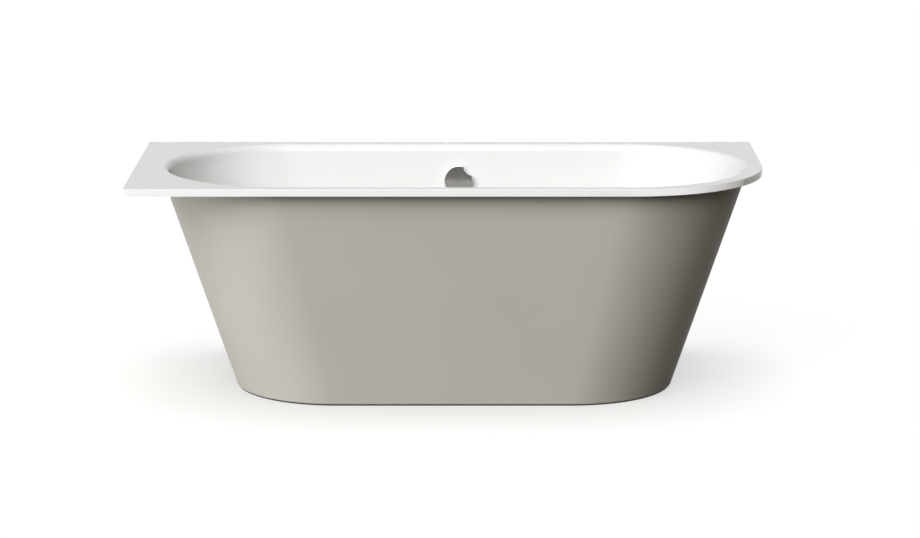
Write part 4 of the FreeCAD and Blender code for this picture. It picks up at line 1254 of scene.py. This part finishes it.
@dataclass
class FootSpindles:
    """Threaded spindles of the feet."""

    pitch: float = 0.00175
    depth: float = 0.0010
    chamfer: float = 0.0012
    columns: int = 28
    rows_per_turn: int = 6

    def build(self) -> Tuple[str, ...]:
        """Winds the threads: the radius is a triangle wave of the height less a pitch for each turn round.

        Returns:
            The nodes that they stand for.
        """
        nodes: Tuple[str, ...] = ()
        for place in ("front_left", "front_right", "back_left", "back_right"):
            node = "foot_spindle_" + place
            low, high = (np.array(point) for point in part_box(node))
            count = int((high[2] - low[2]) / self.pitch * self.rows_per_turn)
            z = np.linspace(low[2], high[2], count)[:, None]
            angle = np.linspace(0.0, 2 * math.pi, self.columns, endpoint=False)[None]
            phase = (z - low[2]) / self.pitch - angle / (2 * math.pi)
            wave = np.abs(2 * (phase % 1.0) - 1)
            outer = (high[0] - low[0]) / 2
            end = np.minimum(z - low[2], high[2] - z) + outer - self.chamfer
            radius = np.minimum(outer - self.depth * wave, end)
            body = np.stack([radius * np.cos(angle), radius * np.sin(angle), z + 0 * angle], axis=-1)
            rows = np.concatenate([body[:1] * (0, 0, 1), body, body[-1:] * (0, 0, 1)])
            rows[..., :2] += (low[:2] + high[:2]) / 2
            faces = grid_faces(len(rows), self.columns, False, True)
            piece = add_piece(node + "_threaded", rows, faces, Crease.FACETED)
            nodes += dress(piece, "zinc_plated_steel", "foot_" + place, node)
        return nodes


@dataclass
class CarriedNodes:
    """CAD nodes whose shape is right: each is merged into a smooth copy and gets its slot's finish."""

    done: Sequence[str]
    grain: float = 1e-6

    def merged(self, node: str) -> Tuple[np.ndarray, np.ndarray]:
        """Points of a node joined where they meet, with its triangles.

        Args:
            node: Name of the node.

        Returns:
            Points, and three indices to a face.
        """
        mesh = frame["nodes"][node].data
        points = np.empty(len(mesh.vertices) * 3)
        mesh.vertices.foreach_get("co", points)
        mesh.calc_loop_triangles()
        corners = np.empty(len(mesh.loop_triangles) * 3, np.int32)
        mesh.loop_triangles.foreach_get("vertices", corners)
        points = points.reshape(-1, 3)
        keys = np.round(points / self.grain)
        _, first, back = np.unique(keys, axis=0, return_index=True, return_inverse=True)
        faces = back.reshape(-1)[corners].reshape(-1, 3)
        whole = (faces != np.roll(faces, 1, axis=1)).all(axis=1)
        return points[first], faces[whole]

    def build(self) -> None:
        """Copies and dresses every node that no other piece stands for."""
        record = frame["record"]
        slots = {part["node"]: part["material_slot"] for part in record["subparts"]}
        bodies = {node: body for body, nodes in record["behaviour"]["bodies"].items() for node in nodes}
        for node in sorted(set(slots) - set(self.done)):
            points, faces = self.merged(node)
            mesh = bpy.data.meshes.new(node + "_finished")
            mesh.from_pydata(points.tolist(), [], faces.tolist())
            piece = smooth(node + "_finished", mesh, Crease.ROUND)
            dress(piece, slots[node], bodies[node], node)


@dataclass(frozen=True)
class Studio:
    """White floor, wide key light from the front left, low strip lights and the photograph's camera."""

    camera_place: Place = (0.0303, -8.6040, 2.1074)
    camera_pitch: float = 11.7985
    focal_px: float = 3213.85
    image_width_px: float = 920.0
    sensor: float = 36.0
    key_azimuth: float = 25.0
    key_elevation: float = 39.0
    key_angle: float = 54.0
    key_strength: float = 1.22
    side_azimuth: float = 73.0
    side_strength: float = 0.545
    rear_azimuth: float = 175.0
    rear_strength: float = 0.35
    strip_hue: Colour = (0.97, 0.985, 1.0)
    strip_distance: float = 4.0
    strip_level: float = 0.29
    strip_width: float = 2.0
    strip_height: float = 0.5
    fill_hue: Colour = (1.0, 0.86, 0.62)
    fill_strength: float = 0.03
    floor_half: float = 30.0
    floor_drop: float = 0.0002
    floor_tone: Colour = (0.085, 0.077, 0.060)
    floor_glow: float = 0.953
    contact_reach: float = 0.35
    painted_contact_shadow_depth: float = 0.45
    contact_samples: int = 16
    back_y: float = 6.0
    back_tone: float = 0.85
    card_y: float = -12.0
    card_half: float = 6.0
    card_height: float = 6.0
    card_step: Span = (3.066, 3.080)
    card_light: float = 0.43
    card_dark: float = 0.19
    card_hue: Colour = (1.0, 0.965, 0.88)
    flag_x: float = 2.2
    flag_reach: Span = (-4.0, 3.0)
    flag_height: float = 3.0
    flag_glow: Colour = (0.045, 0.028, 0.010)
    gleam_front: Span = (0.50, -3.18)
    gleam_back: Span = (2.90, 0.99)
    gleam_height: float = 0.57
    gleam_rise: Span = (0.5, 1.6)
    gleam_fall: Span = (1.7, 2.9)
    gleam_light: float = 6.0
    mirrored_only: Tuple[str, ...] = ("camera", "diffuse", "shadow")
    matt_only: Tuple[str, ...] = ("camera", "glossy", "shadow")

    def camera(self) -> None:
        """Stands the camera where the photograph was taken."""
        data = bpy.data.cameras.new("camera")
        data.sensor_width = self.sensor
        data.lens = self.focal_px * self.sensor / self.image_width_px
        made = set_up("camera", data)
        made.location = self.camera_place
        made.rotation_euler = (math.radians(90.0 - self.camera_pitch), 0.0, 0.0)
        bpy.context.scene.camera = made

    def key(self) -> None:
        """Lights the bath with a wide soft lamp far away at the front left."""
        data = bpy.data.lights.new("key", "SUN")
        data.energy = self.key_strength * math.pi
        data.angle = math.radians(self.key_angle)
        tilt, turn = math.radians(90.0 - self.key_elevation), math.radians(self.key_azimuth)
        set_up("key", data).rotation_euler = (tilt, 0.0, -turn)

    def strip(self, name: str, azimuth: float, strength: float) -> None:
        """Stands a wide strip lamp low on the floor, so that the rim's top and the basin get none of it.

        Args:
            name: Name of the lamp.
            azimuth: Direction of the lamp from the front towards the left, in degrees.
            strength: Light on a white sheet that faces the lamp.
        """
        turn = math.radians(azimuth)
        data = bpy.data.lights.new(name, "AREA")
        data.shape = "RECTANGLE"
        data.color = self.strip_hue
        data.size = self.strip_width
        data.size_y = self.strip_height
        data.energy = strength * (math.pi * self.strip_distance) ** 2
        made = set_up(name, data)
        reach = self.strip_distance
        made.location = (-reach * math.sin(turn), -reach * math.cos(turn), self.strip_level)
        made.rotation_euler = (math.pi / 2, 0.0, -turn)
        made.visible_camera = False

    def seen(self, tree: bpy.types.NodeTree) -> Socket:
        """Finds the rays that show a surface: from the camera, a reflection or through glass.

        Args:
            tree: Node tree that needs to know.

        Returns:
            One for such rays and zero for others.
        """
        path = tree.nodes.new("ShaderNodeLightPath")
        value = path.outputs["Is Camera Ray"]
        for name in ("Is Glossy Ray", "Is Transmission Ray"):
            node = tree.nodes.new("ShaderNodeMath")
            node.operation = "MAXIMUM"
            tree.links.new(value, node.inputs[0])
            tree.links.new(path.outputs[name], node.inputs[1])
            value = node.outputs["Value"]
        return value

    def world(self) -> None:
        """Fills the shadows weakly and shows white to the eye."""
        made = bpy.data.worlds.new("studio")
        made.use_nodes = True
        tree = made.node_tree
        fill = tree.nodes["Background"]
        fill.inputs["Color"].default_value = (*self.fill_hue, 1.0)
        fill.inputs["Strength"].default_value = self.fill_strength
        white = tree.nodes.new("ShaderNodeBackground")
        white.inputs["Color"].default_value = (*WHITE, 1.0)
        mix = tree.nodes.new("ShaderNodeMixShader")
        tree.links.new(self.seen(tree), mix.inputs["Fac"])
        tree.links.new(fill.outputs["Background"], mix.inputs[1])
        tree.links.new(white.outputs["Background"], mix.inputs[2])
        tree.links.new(mix.outputs["Shader"], tree.nodes["World Output"].inputs["Surface"])
        bpy.context.scene.world = made

    def panel(self, name: str, corners: List[Place], *unseen: str) -> NodeSheet:
        """Adds a flat stage panel.

        Args:
            name: Name of the panel.
            corners: Its four corners.
            unseen: Kinds of ray that pass it by.

        Returns:
            The sheet of its material, without a surface.
        """
        sheet = NodeSheet(name)
        sheet.tree.nodes.remove(sheet.shader)
        mesh = bpy.data.meshes.new(name)
        mesh.from_pydata(corners, [], [(0, 1, 2, 3)])
        mesh.materials.append(sheet.material)
        made = set_up(name, mesh)
        for ray in unseen:
            setattr(made, "visible_" + ray, False)
        return sheet

    def upright(self, name: str, first: Span, second: Span, top: float, *unseen: str) -> NodeSheet:
        """Adds a panel that stands on the floor between two plan points."""
        corners = [(*first, 0.0), (*second, 0.0), (*second, top), (*first, top)]
        return self.panel(name, corners, *unseen)

    def floor(self) -> None:
        """Lays a floor that looks white, with a painted contact shadow that softly darkens its glow close to
        the bath, and that still takes the bath's real shadow from the lamps.
        """
        half, z = self.floor_half, -self.floor_drop
        sheet = self.panel("floor", [(-half, -half, z), (half, -half, z), (half, half, z), (-half, half, z)])
        matt = sheet.add("ShaderNodeBsdfDiffuse")
        sheet.feed(matt.inputs["Color"], self.floor_tone)
        # Painted shade: ambient occlusion darkens the floor's glow close to the bath, a painted contact
        # shadow.
        near = sheet.add("ShaderNodeAmbientOcclusion", samples=self.contact_samples)
        sheet.feed(near.inputs["Distance"], self.contact_reach)
        dark = self.floor_glow - self.painted_contact_shadow_depth
        white = sheet.spread(near.outputs["AO"], dark, self.floor_glow, 0.0, 1.0)
        both = sheet.add("ShaderNodeAddShader")
        sheet.feed(both.inputs[0], matt.outputs["BSDF"])
        sheet.feed(both.inputs[1], sheet.glow(sheet.joined("MULTIPLY", self.seen(sheet.tree), white)))
        sheet.show(both.outputs["Shader"])

    def card(self) -> None:
        """Hangs a card behind the camera, lighter below, for polished metal to reflect."""
        ends = (-self.card_half, self.card_y), (self.card_half, self.card_y)
        sheet = self.upright("card", *ends, self.card_height, *self.mirrored_only)
        tone = sheet.spread(sheet.along("Z"), self.card_light, self.card_dark, *self.card_step)
        sheet.show(sheet.glow(tone, self.card_hue))

    def back(self) -> None:
        """Hangs a grey card behind the bath, for the rim to reflect."""
        ends = (-self.card_half, self.back_y), (self.card_half, self.back_y)
        sheet = self.upright("back", *ends, self.card_height, *self.mirrored_only)
        sheet.show(sheet.glow(self.back_tone))

    def flag(self) -> None:
        """Stands a dim warm flag to the right of the bath, so that this side stays dark."""
        ends = ((self.flag_x, y) for y in self.flag_reach)
        sheet = self.upright("flag", *ends, self.flag_height, *self.matt_only)
        sheet.show(sheet.glow(1.0, self.flag_glow))

    def gleam(self) -> None:
        """Stands a low card at the right front, bright in its middle, for the rim's corner to reflect."""
        ends = self.gleam_front, self.gleam_back
        sheet = self.upright("gleam", *ends, self.gleam_height, *self.mirrored_only)
        rise = sheet.spread(sheet.along("X"), 0.0, 1.0, *self.gleam_rise)
        fall = sheet.spread(sheet.along("X"), self.gleam_light, 0.0, *self.gleam_fall)
        sheet.show(sheet.glow(sheet.joined("MULTIPLY", rise, fall)))

    def build(self) -> None:
        """Sets up the whole studio."""
        bpy.context.scene.view_settings.view_transform = "Standard"
        self.camera()
        self.key()
        self.strip("side", self.side_azimuth, self.side_strength)
        self.strip("rear", self.rear_azimuth, self.rear_strength)
        self.world()
        self.floor()
        self.card()
        self.back()
        self.flag()
        self.gleam()


def main() -> None:
    """Builds the bath piece by piece and sets it in the studio."""
    logging.basicConfig(level=logging.INFO, format="%(name)s: %(message)s")
    shell = BathShell()
    parts = (shell, Apron(), TurnKnob(shell.overflow_frame()), DrainPlug(), FootSpindles())
    done = [node for part in parts for node in part.build()]
    CarriedNodes(done).build()
    Studio().build()


if __name__ == "__main__":
    main()
